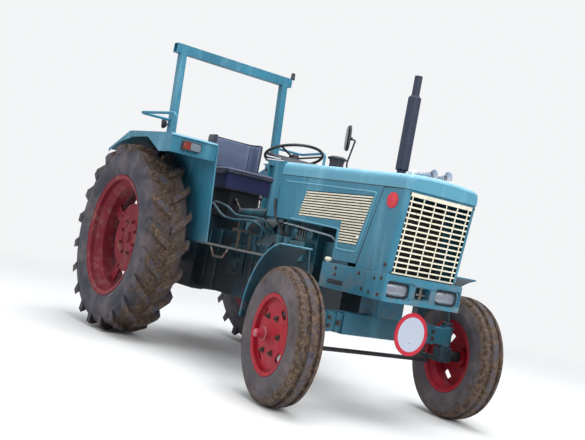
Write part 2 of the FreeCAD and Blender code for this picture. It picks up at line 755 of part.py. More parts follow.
def hood_section(name, x, low, high, inset):
    half = s.hood_half - inset
    corner = s.hood_corner - inset
    top = as_size(high) - inset
    return outline(name, "YZ", [
        (-half, low), (-half, top - corner), Arc(corner, -1), (-half + corner, top),
        Arc(s.hood_crown, -1), (half - corner, top), Arc(corner, -1), (half, top - corner),
        (half, low)], x=x)


def hood_line(x, rear, front):
    """Height at x of a line along the bonnet between its rear and front heights."""
    return rear + (front - rear) * ((as_size(x) - s.hood_rear) / (s.hood_front - s.hood_rear))


def build_hood():
    front, nose, plate = s.hood_front, s.nose_round, s.plate
    stations = {
        # place along X, how far the section draws in
        "outer": ((s.hood_rear, 0), (front - nose, 0), (front - nose * 0.3, nose * 0.2),
                  (front, nose * 0.55)),
        "inner": ((s.hood_rear - 1, plate), (front - nose - plate, plate),
                  (front - nose * 0.45, plate + nose * 0.2),
                  (front - nose * 0.2, plate + nose * 0.55)),
    }
    lofts = []
    for kind, places in stations.items():
        loft = doc.addObject("Part::Loft", "hood_" + kind)
        wires = []
        for i, (x, inset) in enumerate(places):
            low = hood_line(x, s.hood_rear_low, s.hood_front_low)
            high = hood_line(x, s.hood_rear_high, s.hood_front_high)
            wires.append(hood_section("hood_%s_%d" % (kind, i + 1), x,
                                      low if kind == "outer" else low - 1, high, inset))
        loft.Sections = wires
        loft.Solid = True
        loft.Ruled = True
        lofts.append(loft)
    piece("hood_top", cut("hood_top", lofts[0], [lofts[1]]))


def hood_surface(x, y):
    """Height of the bonnet's top at a point."""
    fall = (s.hood_rear_high - s.hood_front_high) / (s.hood_front - s.hood_rear)
    flat = s.hood_half - s.hood_corner
    crown = (flat * flat - as_size(y) * y) / (s.hood_crown * 2)
    return s.hood_rear_high + crown - (as_size(x) - s.hood_rear) * fall


def panel_edge_x(z):
    """The slanted front edge of a side panel."""
    lean = (s.panel_seam_top - s.panel_seam_low) / (s.hood_front_low - s.panel_low_front)
    return s.panel_seam_low + (as_size(z) - s.panel_low_front) * lean


def louvre_start(z):
    """Where the slats at a height begin: the long ones start behind the step."""
    step = s.louvre_top - s.louvre_pitch * s.louvre_long
    if float(z) < float(step):
        return s.panel_step_x + 24
    return s.hood_rear + s.louvre_rear + (as_size(z) - step) * s.louvre_slant


def louvre_ends(z):
    """Ends along X of a slat at height z, which lie inside the panel's window."""
    half = s.louvre_slat / 2
    return (louvre_start(z + half) + s.seat_gap,
            panel_edge_x(z - half) - s.louvre_margin - s.seat_gap)


def build_side_panels():
    half = s.hood_half
    top_gap = s.seam
    low = s.louvre_top - s.louvre_pitch * (s.louvre_count - 1) - s.louvre_slat
    high = s.louvre_top + s.louvre_slat
    step = s.louvre_top - s.louvre_pitch * s.louvre_long
    panel = prism("panel_block", "XZ", [
        (s.hood_rear, s.hood_rear_low - top_gap), (s.hood_rear + 12, s.panel_low_rear),
        (s.panel_step_x, s.panel_low_rear - 20), (s.panel_step_x, s.panel_low_front),
        (s.panel_seam_low, s.panel_low_front), (s.panel_seam_top, s.hood_front_low + 4)],
        (half - s.plate, half))
    window = prism("panel_window", "XZ", [
        (louvre_start(step), step), (louvre_start(high), high),
        (panel_edge_x(high) - s.louvre_margin, high),
        (panel_edge_x(low) - s.louvre_margin, low), (louvre_start(low), low),
        (louvre_start(low), step)], (half - s.plate - 1, half + 1))
    left = cut("panel_left", panel, [window])
    piece("side_panels", group("side_panels", [left, mirrored("panel_right", left)]))

    slats = []
    face = half - s.plate - s.seat_gap
    for i in range(int(float(s.louvre_count))):
        z = s.louvre_top - s.louvre_pitch * i
        start, end = louvre_ends(z)
        slats.append(box("slat_%d" % (i + 1), (start, end), (face - 10, face + 3),
                         (z - s.louvre_slat / 2, z + s.louvre_slat / 2)))
    last = s.louvre_top - s.louvre_pitch * (s.louvre_count - 1)
    for i, (x, foot) in enumerate(((s.hood_rear + 320, step + 8),
                                   (s.hood_rear + 520, step + 8),
                                   (s.panel_step_x + 60, last), (s.panel_seam_low - 85, last))):
        slats.append(box("slat_rib_%d" % (i + 1), (x, x + 10), (face - 16, face - 8),
                         (foot, s.louvre_top)))
    comb = fuse("slats_left", slats)
    piece("louvre_slats", group("louvre_slats", [comb, mirrored("slats_right", comb)]))


# Driver's place

def build_dash():
    """A strip as wide as the bonnet, a narrower box behind it and a panel that rises
    from the bonnet towards the driver."""
    half, box_half, plate = s.hood_half, s.dash_box_half, s.plate
    rear, strip, front = s.dash_rear, s.dash_strip, s.hood_rear - s.seam
    low, high = s.panel_low_rear, s.hood_rear_high
    under = s.panel_thick
    skirt = prism("dash_skirt", "XZ", [
        (strip, low), (front, low), (front, high), (strip, high)], (-half, half))
    panel = prism("dash_panel", "XZ", [
        (front, high), (s.panel_rear, s.panel_high), (s.panel_rear - 10, s.panel_high - under),
        (strip, high - 30), (front, high - 30)], (6 - half, half - 6))
    body = prism("dash_box", "XZ", [
        (rear, low), (strip + 1, low), (strip + 1, high - 22), (rear, high + 14)],
        (-box_half, box_half))
    hollow = box("dash_hollow", (strip + plate, front + 1), (plate - half, half - plate),
                 (low - 1, high - 30 - plate))
    box_hollow = prism("dash_box_hollow", "XZ", [
        (rear + plate, low - 1), (strip + plate + 1, low - 1),
        (strip + plate + 1, high - 30 - plate), (rear + plate, high + 8 - plate)],
        (plate - box_half, box_half - plate))
    column = column_rod("dash_hole", s.wheel_rim * 2, 60, 420)
    whole = fuse("dash_whole", [skirt, panel, body])
    piece("dash_cowl", cut("dash_cowl", whole, [hollow, box_hollow, column]))


def tilt():
    return Rotation(Vector(0, 1, 0), -float(s.wheel_tilt))


def column_rod(name, radius, near, far):
    """A bar on the steering column's axis, from near to far below the wheel's middle."""
    item = doc.addObject("Part::Cylinder", name)
    bind(item, "Radius", radius)
    bind(item, "Height", as_size(far) - near)
    return place(item, s.wheel_x + far * sine(s.wheel_tilt), 0,
                 s.wheel_z - far * cosine(s.wheel_tilt), tilt())


def build_steering():
    piece("steering_column", column_rod("steering_column", s.wheel_rim * 2 - s.seat_gap,
                                        46, 430))
    rim = doc.addObject("Part::Torus", "wheel_ring")
    bind(rim, "Radius1", s.wheel_radius)
    bind(rim, "Radius2", s.wheel_rim)
    place(rim, s.wheel_x, 0, s.wheel_z, tilt())
    hub = column_rod("wheel_hub", 36, 8, 45)
    spokes = []
    for i in range(3):
        spoke = doc.addObject("Part::Cylinder", "spoke_%d" % (i + 1))
        bind(spoke, "Radius", 7)
        bind(spoke, "Height", s.wheel_radius)
        turn = Rotation(Vector(0, 0, 1), 60 + 120 * i).multiply(
            Rotation(Vector(0, 1, 0), 84))
        place(spoke, s.wheel_x + 24 * sine(s.wheel_tilt), 0,
              s.wheel_z - 24 * cosine(s.wheel_tilt), tilt().multiply(turn))
        spokes.append(spoke)
    piece("steering_wheel", fuse("steering_wheel", [rim, hub] + spokes))


def build_seat():
    """Cushion on a sprung box, and a backrest whose wings reach forward on both sides."""
    half, rear, front = s.seat_half, s.seat_rear, s.seat_front
    under = s.seat_top - s.cushion_high
    spring_box = box("spring_box", (rear + 190, front - 30), (35 - half, half - 35),
                     (under - 110, under - s.seat_gap))
    pedestal = box("pedestal", (rear + 60, front - 60), (-125, 125),
                   (s.axle_case_high, under - 100))
    rest = box("seat_rest", (rear + 60, rear + 195), (60 - half, half - 60),
               (under - 110, under - s.seat_gap))
    piece("seat_base", fuse("seat_base", [spring_box, pedestal, rest]))
    piece("seat_cushion", box("seat_cushion", (rear + 20, front), (-half, half),
                              (under, s.seat_top)))
    tip, bevel, wing, fill = rear + 50 + s.wing_depth, 30, 40, 80
    piece("seat_back", prism("seat_back", "XY", [
        (rear, bevel - half), (rear + bevel, -half), (tip, -half), (tip, wing - half),
        (rear + 75, wing + 8 - half), (rear + 50, fill - half), (rear + 50, half - fill),
        (rear + 75, half - wing - 8), (tip, half - wing), (tip, half), (rear + bevel, half),
        (rear, half - bevel)], (s.seat_top + s.seat_gap, s.seat_high)))


def build_decks():
    """Foot plates on both sides of the gearbox."""
    left = box("deck_left", (s.axle_case_front + 20, s.engine_rear + 290),
               (s.gearbox_half + s.seat_gap, s.deck_out), (s.deck_z - 8, s.deck_z))
    bell_notch = box("bell_notch", (s.bell_rear - 5, s.engine_rear + 1),
                     (s.gearbox_half - 5, s.bell_half + s.seat_gap),
                     (s.deck_z - 9, s.deck_z + 1))
    engine_notch = box("engine_notch", (s.engine_rear, s.engine_rear + 300),
                       (s.gearbox_half - 5, s.engine_half + 90), (s.deck_z - 9, s.deck_z + 1))
    plate = cut("deck_plate", left, [bell_notch, engine_notch])
    piece("foot_plates", group("foot_plates", [plate, mirrored("deck_right", plate)]))


def build_controls():
    """Levers and pedals by the driver's feet; they have no joints."""
    high, far = s.gearbox_high, (s.axle_case_front + s.bell_rear) / 2
    gear = tube("gear_lever", [(far - 10, 30, high), (far - 10, 30, high + 190),
                               (far - 70, 60, high + 270)], 9, 40)
    range_lever = tube("range_lever", [(far - 130, -40, high), (far - 130, -40, high + 150),
                                       (far - 170, -70, high + 220)], 8, 40)
    near = s.bell_rear + 8
    pedals = []
    for n, y in enumerate((300, -260, -350)):
        arm = box("pedal_arm_%d" % (n + 1), (near - 18, near), (y, y + 12),
                  (s.deck_z, s.deck_z + 120))
        pad = box("pedal_pad_%d" % (n + 1), (near - 48, near), (y - 30, y + 42),
                  (s.deck_z + 120, s.deck_z + 132))
        pedals.append(fuse("pedal_%d" % (n + 1), [arm, pad]))
    piece("control_levers", group("control_levers", [gear, range_lever] + pedals))


# Rear mudguards, rails and roll bar

def build_rear_fenders():
    plate = s.plate
    top, front = s.fender_top, s.fender_front
    fall, rear, rear_z = -s.fender_fall_x, -s.fender_rear, s.fender_rear_z
    level, brow = s.fender_level, top - s.fender_drop
    deck = prism("fender_deck", "XZ", [
        (front, s.skirt_low), (front, brow - 16), (front - 16, brow), (level, top), (fall, top),
        (rear, rear_z), (rear, rear_z - plate - 1), (fall + 1, top - plate),
        (level, top - plate), (front - 17, brow - plate), (front - plate, brow - 17),
        (front - plate, s.skirt_low)], (s.fender_in, s.fender_out))
    wall = prism("fender_wall", "XZ", [
        (front, brow - 16), (front - 16, brow), (level, top), (fall, top), (rear, rear_z),
        (rear + 40, s.deck_z + 120), (150, s.deck_z + 120), (230, s.deck_z),
        (front + 100, s.deck_z)], (s.fender_in, s.fender_in + plate))
    arch = s.rear_tyre_radius + s.arch_gap

    def on_arch(x):
        return x, s.rear_tyre_radius + root(arch * arch - as_size(x) * x)

    skirt = prism("fender_skirt", "XZ", [
        (front, s.skirt_low), (front, brow - 16), (front - 16, brow), (level, top),
        (fall, top), (rear, rear_z), on_arch(rear + 6), Arc(arch, -1), on_arch(fall - 40),
        (fall + 60, top - 46), (330, top - 46), (front - 170, s.skirt_low)],
        (s.fender_out - plate, s.fender_out))
    left = fuse("fender_left", [deck, wall, skirt])
    piece("fender_left", left)
    piece("fender_right", mirrored("fender_right", left))


def build_fender_lamps():
    brow = s.fender_top - s.fender_drop
    lamp = box("lamp_left", (s.fender_front, s.fender_front + 32), (590, 727),
               (brow - 98, brow - 40))
    piece("fender_lamps", group("fender_lamps", [lamp, mirrored("lamp_right", lamp)]))


def fender_surface(x):
    """Height of a rear mudguard's top where it falls towards its front."""
    fall = s.fender_drop / (s.fender_front - 16 - s.fender_level)
    return s.fender_top - (as_size(x) - s.fender_level) * fall


def build_rails():
    """A rail from the roll bar's post out to the mudguard's edge, forward and down."""
    high = s.fender_top + s.rail_high
    start, x = s.bar_y + s.bar_post_y / 2 + s.seat_gap, post_x(high)
    foot = fender_surface(s.rail_front - s.rail_radius)
    left = tube("rail_left", [
        (x, start, high), (x, s.rail_out, high), (s.rail_front, s.rail_y, high),
        (s.rail_front, s.rail_y, foot)], s.rail_radius, s.rail_bend)
    piece("handrails", group("handrails", [left, mirrored("rail_right", left)]))


def post_x(z):
    """Middle along X of the roll bar's leaning posts at a height."""
    lean = (s.bar_foot_x - s.bar_top_x) / (s.bar_top - s.fender_top)
    return (as_size(z) - s.fender_top) * lean - s.bar_foot_x


def build_roll_bar():
    foot = s.fender_top
    half_x, half_y = s.bar_post_x / 2, s.bar_post_y / 2
    post = prism("bar_post", "XZ", [
        (-s.bar_foot_x - half_x, foot), (-s.bar_foot_x + half_x, foot),
        (-s.bar_top_x + half_x, s.bar_top - 10), (-s.bar_top_x - half_x, s.bar_top - 10)],
        (s.bar_y - half_y, s.bar_y + half_y))
    leg = box("bar_leg", (-s.bar_foot_x - half_x, -s.bar_foot_x + half_x),
              (s.fender_in - 26, s.fender_in - s.seat_gap),
              (s.rear_tyre_radius + s.trumpet_radius - s.trumpet_taper + 2.5, foot + 6))
    foot_plate = box("bar_foot", (-s.bar_foot_x - half_x - 30, -s.bar_foot_x + half_x + 30),
                     (s.fender_in - 26, s.bar_y + half_y + 25),
                     (foot + s.seat_gap, foot + 10))
    beam = box("bar_beam", (-s.bar_top_x - half_x, -s.bar_top_x + half_x),
               (-s.bar_beam_half, s.bar_beam_half), (s.bar_top - s.bar_beam_z, s.bar_top))
    side = fuse("bar_side", [post, foot_plate, leg])
    whole = fuse("bar_whole", [side, mirrored("bar_side_right", side), beam])
    wall, depth = s.bar_wall, 30
    ends = [box("beam_end_%d" % (n + 1),
                (wall - s.bar_top_x - half_x, half_x - s.bar_top_x - wall), span,
                (s.bar_top - s.bar_beam_z + wall, s.bar_top - wall))
            for n, span in enumerate(((s.bar_beam_half - depth, s.bar_beam_half + 1),
                                      (-s.bar_beam_half - 1, depth - s.bar_beam_half)))]
    piece("roll_bar", cut("roll_bar", whole, ends))


# Stack, air cleaner, mirror, horns and sign

def build_stack():
    foot = s.stack_radius + 12
    low = hood_surface(s.stack_x - foot, 0) + s.seat_gap
    body = turned("exhaust_stack", [
        (low, 0), (low, foot), (low + 10, foot), (low + 10, s.pipe_radius + 4),
        (low + 30, s.pipe_radius + 4),
        (low + 36, s.stack_radius), (s.stack_top - 130, s.stack_radius),
        (s.stack_top - 115, s.pipe_radius), (s.stack_top, s.pipe_radius),
        (s.stack_top, 0)], "Z", x=s.stack_x)
    piece("exhaust_stack", body)


def build_air_cleaner():
    r = s.cleaner_radius
    neck = r * 0.6
    inner = neck * 0.75
    low = hood_surface(s.cleaner_x - inner, s.cleaner_y - inner) + s.seat_gap
    cap = turned("air_cleaner", [
        (low, 0), (low, neck), (low + 26, neck), (low + 26, r - 4), (low + 68, r - 4),
        (low + 68, r), (low + 80, r), (low + 94, r * 0.7), (low + 100, 0)], "Z",
        x=s.cleaner_x, y=s.cleaner_y)
    piece("air_cleaner", cap)


def build_mirror():
    x = s.hood_rear + 20
    arm = tube("mirror_arm", [(x, 235, s.hood_rear_high - 2), (x, 235, 1500),
                              (x - 10, 205, 1640)], 6, 40)
    head = box("mirror_head", (x - 30, x), (140, 270), (1575, 1735))
    piece("mirror", fuse("mirror", [arm, head]))


def build_horns():
    """Two horns with open bells, each on its own foot."""
    horns = []
    for n, (end, y, bell) in enumerate(((s.hood_front - 142, 20, 29), (s.hood_front - 132, 120, 34))):
        length = 200
        x = end - length
        z = hood_surface(end, y) + bell + 3
        trumpet = turned("trumpet_horn_%d" % (n + 1), [
            (0, 0), (0, 21), (42, 21), (46, 8), (length - 62, 10), (length - 22, 18),
            (length, bell), (length, bell - 2), (length - 20, 15), (length - 58, 7),
            (length - 60, 0)], "X", x=x, y=y, z=z)
        foot = box("horn_foot_%d" % (n + 1), (x + 8, x + 32), (y - 9, y + 9),
                   (hood_surface(x, y) + s.seat_gap, z))
        horns.append(fuse("horn_%d" % (n + 1), [trumpet, foot]))
    piece("horns", group("horns", horns))


def build_sign():
    disc = rod("sign_disc", s.sign_radius, "X", s.sign_x, s.sign_x + 4,
               (s.sign_y, s.sign_z))
    strap = box("sign_strap", (s.sign_x - 6, s.sign_x + 1), (s.sign_y - 16, s.sign_y + 16),
                (s.sign_z - 40, s.frame_low))
    piece("sign_plate", fuse("sign_plate", [disc, strap]))


# Front axle, knuckles and steering linkage

def build_front_axle():
    x, half = s.wheelbase, s.beam_depth / 2
    beam = box("axle_beam", (x - half, x + half), (-s.beam_half, s.beam_half),
               (s.beam_low, s.beam_high))
    arms = []
    for n, (low, high) in enumerate(((s.beam_half, s.kingpin_y), (-s.kingpin_y, -s.beam_half))):
        arms.append(box("axle_arm_%d" % (n + 1), (x - half + 15, x + half - 15), (low, high),
                        (s.beam_low + 12, s.beam_high - 12)))
    for n, near in enumerate((s.beam_half + 20, s.beam_half + 80)):
        for side, low in (("left", near), ("right", -near - 26)):
            arms.append(box("axle_clamp_%s_%d" % (side, n + 1), (x - half + 8, x + half - 8),
                            (low, low + 26), (s.beam_low + 5, s.beam_high - 5)))
    eyes = [rod("axle_eye_%d" % (n + 1), s.eye_radius, "Z", s.beam_low, s.beam_high, (x, y))
            for n, y in enumerate((s.kingpin_y, -s.kingpin_y))]
    bores = [rod("axle_bore_%d" % (n + 1), s.kingpin_radius + s.running_gap, "Z",
                 s.beam_low - 1, s.beam_high + 1, (x, y))
             for n, y in enumerate((s.kingpin_y, -s.kingpin_y))]
    corners = [box("axle_trim_%d" % (n + 1), (x - 70, x + 70), pair,
                   (s.beam_low - 1, s.beam_high + 1))
               for n, pair in enumerate(((s.kingpin_y + s.eye_radius, s.kingpin_y + 90),
                                         (-s.kingpin_y - 90, -s.kingpin_y - s.eye_radius)))]
    whole = fuse("axle_solid", [beam] + arms + eyes)
    piece("front_axle", cut("front_axle", whole, bores + corners))


def build_knuckle():
    x, y, gap = s.wheelbase, s.kingpin_y, s.swing_gap
    z = s.front_tyre_radius
    low = s.beam_low - gap
    pin = rod("kingpin", s.kingpin_radius, "Z", low - 10, s.beam_high + gap + s.cap_high,
              (x, y))
    cap = rod("kingpin_cap", s.eye_radius - 8, "Z", s.beam_high + gap,
              s.beam_high + gap + s.cap_high, (x, y))
    block = box("knuckle_block", (x - 38, x + 38), (y - 38, y + 38), (z - 40, low))
    disc = s.front_wheel_y + s.front_disc
    shoulder = rod("spindle_shoulder", s.spindle_radius + 10, "Y", y + 30, disc - 45 - gap,
                   (x, z))
    spindle = rod("spindle", s.spindle_radius, "Y", y + 30, disc + 40, (x, z))
    arm = box("steering_arm", (x - s.arm_length - 18, x - 30), (s.kingpin_y - 18, s.kingpin_y + 18),
              (z - 40, z - 18))
    ball = rod("arm_pin", 10, "Z", s.tie_rod_z - 18, z - 30, (x - s.arm_length, s.kingpin_y))
    front_pair("knuckle", fuse("knuckle_solid", [pin, cap, block, shoulder, spindle, arm, ball]))


def build_front_fenders():
    x, z = s.wheelbase, s.front_tyre_radius
    outer, inner = s.guard_radius, s.guard_radius - s.plate
    start, end = s.guard_start, s.guard_end

    def rim_point(radius, angle):
        return (x + s.guard_ahead + radius * cosine(angle),
                z + s.guard_above + radius * sine(angle))

    half_way = (start + end) / 2
    guard = prism("guard", "XZ", [
        rim_point(outer, start), Arc(outer, 1), rim_point(outer, half_way),
        Arc(outer, 1), rim_point(outer, end), rim_point(inner, end), Arc(inner, -1),
        rim_point(inner, half_way), Arc(inner, -1), rim_point(inner, start)],
        (s.guard_in, s.guard_out))
    foot = s.beam_high + s.swing_gap + s.cap_high
    stay = prism("guard_stay", "XZ", [
        (x - 22, foot), (x + 18, foot), rim_point(inner + 2, start + 1.5),
        rim_point(inner + 2, start + 6)], (s.kingpin_y - 4, s.kingpin_y + 4))
    front_pair("front_fender", fuse("guard_solid", [guard, stay]))


def build_tie_rod():
    """Stands where the two turned steering arms hold it."""
    x = s.wheelbase - s.arm_length * cosine(s.steer_angle)
    aside = s.arm_length * sine(s.steer_angle)
    y, z = s.kingpin_y, s.tie_rod_z
    bar = rod("tie_bar", s.tie_rod_radius, "Y", aside - y + 20, aside + y - 20, (x, z))
    eyes = [rod("tie_eye_%d" % (n + 1), 22, "Z", z - 16, z + 16, (x, aside + side))
            for n, side in enumerate((y, -y))]
    bores = [rod("tie_bore_%d" % (n + 1), 10 + s.running_gap, "Z", z - 17, z + 17,
                 (x, aside + side))
             for n, side in enumerate((y, -y))]
    piece("tie_rod", cut("tie_rod", fuse("tie_solid", [bar] + eyes), bores))


# Rear linkage: lift arm, lift rod and lower link stand as a parallelogram

def build_linkage():
    x, thick = -s.link_x, s.link_thick
    low, high = s.link_y - thick / 2, s.link_y + thick / 2
    pin = s.link_pin_radius
    rod_x = x - s.lift_arm

    def bar(name, z, length, width):
        plate = box(name + "_bar", (x - length, x), (low, high), (z - width, z + width))
        eyes = [rod("%s_eye_%d" % (name, n + 1), s.link_eye, "Y", low, high, (x - far, z))
                for n, far in enumerate((0, length))]
        return fuse(name + "_solid", [plate] + eyes)

    def peg(name, z):
        return rod(name, pin, "Y", low, high + 42, (rod_x, z))

    link = bar("link", s.link_z, s.link_length, 20)
    link = fuse("link_pegged", [link, peg("link_peg", s.link_z)])
    link = cut("link_left", link, [
        rod("link_bore", pin + s.running_gap, "Y", low - 1, high + 1, (x, s.link_z)),
        rod("link_ball", s.ball_bore, "Y", low - 1, high + 1,
            (x - s.link_length, s.link_z))])
    piece("lower_links", group("lower_links", [link, mirrored("link_right", link)]))

    arm = bar("arm", s.lift_z, s.lift_arm, 26)
    arm = fuse("arm_pegged", [arm, peg("arm_peg", s.lift_z)])
    shaft = rod("lift_shaft", s.lift_shaft_radius, "Y", -low, low, (x, s.lift_z))
    piece("lift_arms", fuse("lift_arms", [arm, mirrored("arm_right", arm), shaft]))

    y = high + 20
    stem = rod("rod_stem", 12, "Z", s.link_z + 20, s.lift_z - 20, (rod_x, y))
    box_nut = rod("rod_nut", 24, "Z", s.link_z + 200, s.link_z + 330, (rod_x, y))
    eyes = [rod("rod_eye_%d" % (n + 1), 26, "Y", y - 13, y + 13, (rod_x, z))
            for n, z in enumerate((s.link_z, s.lift_z))]
    bores = [rod("rod_bore_%d" % (n + 1), pin + s.running_gap, "Y", y - 14, y + 14, (rod_x, z))
             for n, z in enumerate((s.link_z, s.lift_z))]
    left = cut("rod_left", fuse("rod_solid", [stem, box_nut] + eyes), bores)
    piece("lift_rods", group("lift_rods", [left, mirrored("rod_right", left)]))


# Wheels

def build_rear_rim():
    """A deep barrel, and a disc that four brackets hold inside it."""
    lip, y, wall = s.rear_lip_radius, s.rear_wheel_y, 8
    half = s.rear_rim_width / 2
    seat, well = lip - 25, lip - 62
    face = y + s.rear_disc
    ring, disc = s.rear_hub_radius, s.rear_disc_radius
    near = s.trumpet_end + s.swing_gap
    shaft = s.rear_shaft_radius
    centre = turned("rear_disc_solid", [
        (face + 16, 0), (face + 16, 36), (face + 2, 44), (face, ring - 36),
        (face + 9, ring - 28), (face + 9, ring - 5), (face, ring), (face, disc),
        (face - 10, disc), (face - 10, ring), (face - 40, shaft * 2), (near, shaft * 2),
        (near, shaft), (s.trumpet_end - 70, shaft), (s.trumpet_end - 70, 0)],
        "Y", z=s.rear_tyre_radius)
    barrel = turned("rear_barrel", [
        (y + half, lip), (y + half - 16, lip), (y + half - 16, seat), (y + half - 50, seat),
        (y + 40, well), (y - 40, well), (y - half + 50, seat), (y - half + 16, seat),
        (y - half + 16, lip), (y - half, lip), (y - half, lip - wall),
        (y - half + 8, seat - wall), (y - half + 48, seat - wall), (y - 42, well - wall),
        (y + 42, well - wall), (y + half - 48, seat - wall), (y + half - 12, seat - wall),
        (y + half - 6, lip - 6), (y + half, lip - 4)], "Y", z=s.rear_tyre_radius)
    brackets = [radial_box("rear_bracket_%d" % angle, (disc - 20, well - wall / 2),
                           (face - 24, face - 9), 90, angle, 0, s.rear_tyre_radius)
                for angle in (60, 150, 240, 330)]
    return fuse("rim_rear_left", [centre, barrel] + brackets)


def build_rear_wheels():
    left = build_rear_rim()
    piece("rim_rear_left", left)
    piece("rim_rear_right", mirrored("rim_rear_right", left))

    gap = s.seat_gap
    radius = s.rear_tyre_radius - s.rear_lug_height
    half, y = s.rear_tyre_width / 2, s.rear_wheel_y
    rim_half = s.rear_rim_width / 2
    seat = s.rear_lip_radius - 25 + gap
    lip = s.rear_lip_radius + gap
    bead = rim_half - 16 - gap
    carcass = turned("carcass", [
        (y - bead, seat), (y + bead, seat), (y + bead, lip), (y + rim_half - 4, lip + 2),
        (y + half - 4, lip + 46), (y + half, lip + 92), (y + half - 12, radius - 46),
        (y + half - 40, radius - 14), (y + 60, radius), (y - 60, radius),
        (y - half + 40, radius - 14), (y - half + 12, radius - 46), (y - half, lip + 92),
        (y - half + 4, lip + 46), (y - rim_half + 4, lip + 2), (y - bead, lip)],
        "Y", z=s.rear_tyre_radius)
    doc.recompute()
    lugs = lug_ring(radius)
    tyre = carcass.Shape.multiFuse(lugs)
    left = doc.addObject("Part::Feature", "tyre_rear_left")
    left.Shape = tyre.removeSplitter() if tyre.isValid() else tyre
    piece("tyre_rear_left", left)
    piece("tyre_rear_right", mirrored("tyre_rear_right", left))


def lug_ring(radius):
    """Slanted bars on both halves of the tread, half a pitch apart."""
    outer = float(s.rear_tyre_radius)
    radius = float(radius)
    count = int(float(s.rear_lug_count))
    width = float(s.rear_lug_width) / 2
    half = float(s.rear_tyre_width) / 2
    y = float(s.rear_wheel_y)
    stations = [
        # across the tread, along the tread, depth of the foot, height of the top
        (5, 0, radius - 12, outer),
        (half * 0.6, -0.48 * half, radius - 15, outer - 3),
        (half - 4, -0.88 * half, radius - 58, outer - 24),
    ]
    lugs = []
    for side in (1, -1):
        wires = []
        for across, along, foot, top in stations:
            flare = 1 + 0.25 * across / half
            corners = []
            for level, wide in ((foot, 1.25), (top, 1.0)):
                for edge in (-1, 1) if level == foot else (1, -1):
                    arc_length = along + edge * width * flare * wide
                    turn = arc_length / outer
                    corners.append(Vector(level * math.sin(turn), y + side * across,
                                          level * math.cos(turn)))
            wires.append(Part.makePolygon(corners + [corners[0]]))
        lug = Part.makeLoft(wires, True, True)
        if not lug.isValid() or lug.Volume < 0:
            lug.fix(0.01, 0.01, 0.01)
        start = 0 if side > 0 else 180.0 / count
        for i in range(count):
            copy = lug.copy()
            copy.rotate(Vector(0, 0, 0), Vector(0, 1, 0), start + i * 360.0 / count)
            copy.translate(Vector(-float(middle), 0, outer))
            lugs.append(copy)
    return lugs


def build_front_wheels():
    x, z = s.wheelbase, s.front_tyre_radius
    lip, y, half, wall = s.front_lip_radius, s.front_wheel_y, s.front_rim_width / 2, 6
    seat, well = lip - 18, lip - 46
    disc, end = y + s.front_disc, y + s.front_hub_end
    bore = s.spindle_radius + s.running_gap
    rim = turned("front_rim_solid", [
        (end, 0), (end, 17), (end - 6, 23), (end - 34, 24), (end - 36, 31), (disc + 23, 34),
        (disc + 20, 44), (disc + 12, 47), (disc + 3, 60), (disc, 66), (disc, 128),
        (disc - 8, 152), (disc - 18, seat - 15), (y + half - 27, seat - wall),
        (y + half - 6, seat - wall),
        (y + half, lip - 6), (y + half, lip), (y + half - 10, lip), (y + half - 10, seat),
        (y + half - 26, seat), (y + 22, well), (y - 22, well), (y - half + 26, seat),
        (y - half + 10, seat), (y - half + 10, lip), (y - half, lip), (y - half, lip - 6),
        (y - half + 6, seat - wall), (y - half + 26, seat - wall), (y - 23, well - wall),
        (y + 22, well - wall), (disc - 30, seat - 22), (disc - 17, 148), (disc - 9, 124),
        (disc - 9, 60), (disc - 45, 56), (disc - 45, bore), (disc + 45, bore),
        (disc + 45, 0)],
        "Y", x=x, z=z)
    holes = [radial_box("hand_hole_%d" % angle, (146, 178), (disc - 32, disc + 1), 64, angle, x, z)
             for angle in (50, 140, 230, 320)]
    front_pair("rim_front", cut("front_rim", rim, holes))

    gap = s.seat_gap
    wide, radius, rib = s.front_tyre_width / 2, s.front_tyre_radius, s.front_rib
    bead = half - 10 - gap
    shoulder = wide - 24
    outer_side = [
        (bead, seat + gap), (bead, lip + gap), (half - 2, lip + gap + 2), (wide - 4, lip + 34),
        (wide, lip + 66), (wide - 8, radius - 42), (shoulder, radius - 12),
        (shoulder - 20, radius - 5), (rib + 24, radius - 20), (rib + 5, radius - 17),
        (rib, radius)]
    profile = [(y + across, level) for across, level in outer_side]
    profile += [(y - across, level) for across, level in reversed(outer_side)]
    front_pair("tyre_front", turned("front_tyre_solid", profile, "Y", x=x, z=z))


for build in (build_engine, build_engine_fittings, build_gearbox, build_rear_axle,
              build_drawbar, build_front_frame, build_lamp_housing, build_headlamps,
              build_front_cowl, build_grille, build_radiator, build_hood,
              build_side_panels, build_dash, build_steering, build_seat, build_decks,
              build_controls, build_rear_fenders, build_fender_lamps, build_rails,
              build_roll_bar, build_stack, build_air_cleaner, build_mirror, build_horns,
              build_sign, build_front_axle, build_knuckle, build_front_fenders,
              build_tie_rod, build_linkage, build_rear_wheels, build_front_wheels):
    build()

doc.recompute()

failed = [item for item in doc.Objects if "Invalid" in item.State or "Error" in item.State]
if failed:
    names = ", ".join("%s (%s)" % (item.Label, item.getStatusString()) for item in failed)
    raise RuntimeError("these did not build: " + names)
for item in nodes:
    shape = item.Shape
    if shape.isNull() or not shape.isValid() or not shape.Solids:
        raise RuntimeError("%s has no valid shape" % item.Label)

os.makedirs("parts", exist_ok=True)
for item in nodes:
    item.Shape.exportStep("parts/%s.step" % item.Label)
    bounds = item.Shape.BoundBox
    print("%-20s %2d solids %9.1f cm3  x %7.1f %7.1f  y %7.1f %7.1f  z %7.1f %7.1f" % (
        item.Label, len(item.Shape.Solids), item.Shape.Volume / 1000, bounds.XMin,
        bounds.XMax, bounds.YMin, bounds.YMax, bounds.ZMin, bounds.ZMax))
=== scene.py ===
import math

import bmesh
import bpy
from mathutils import Matrix, Vector


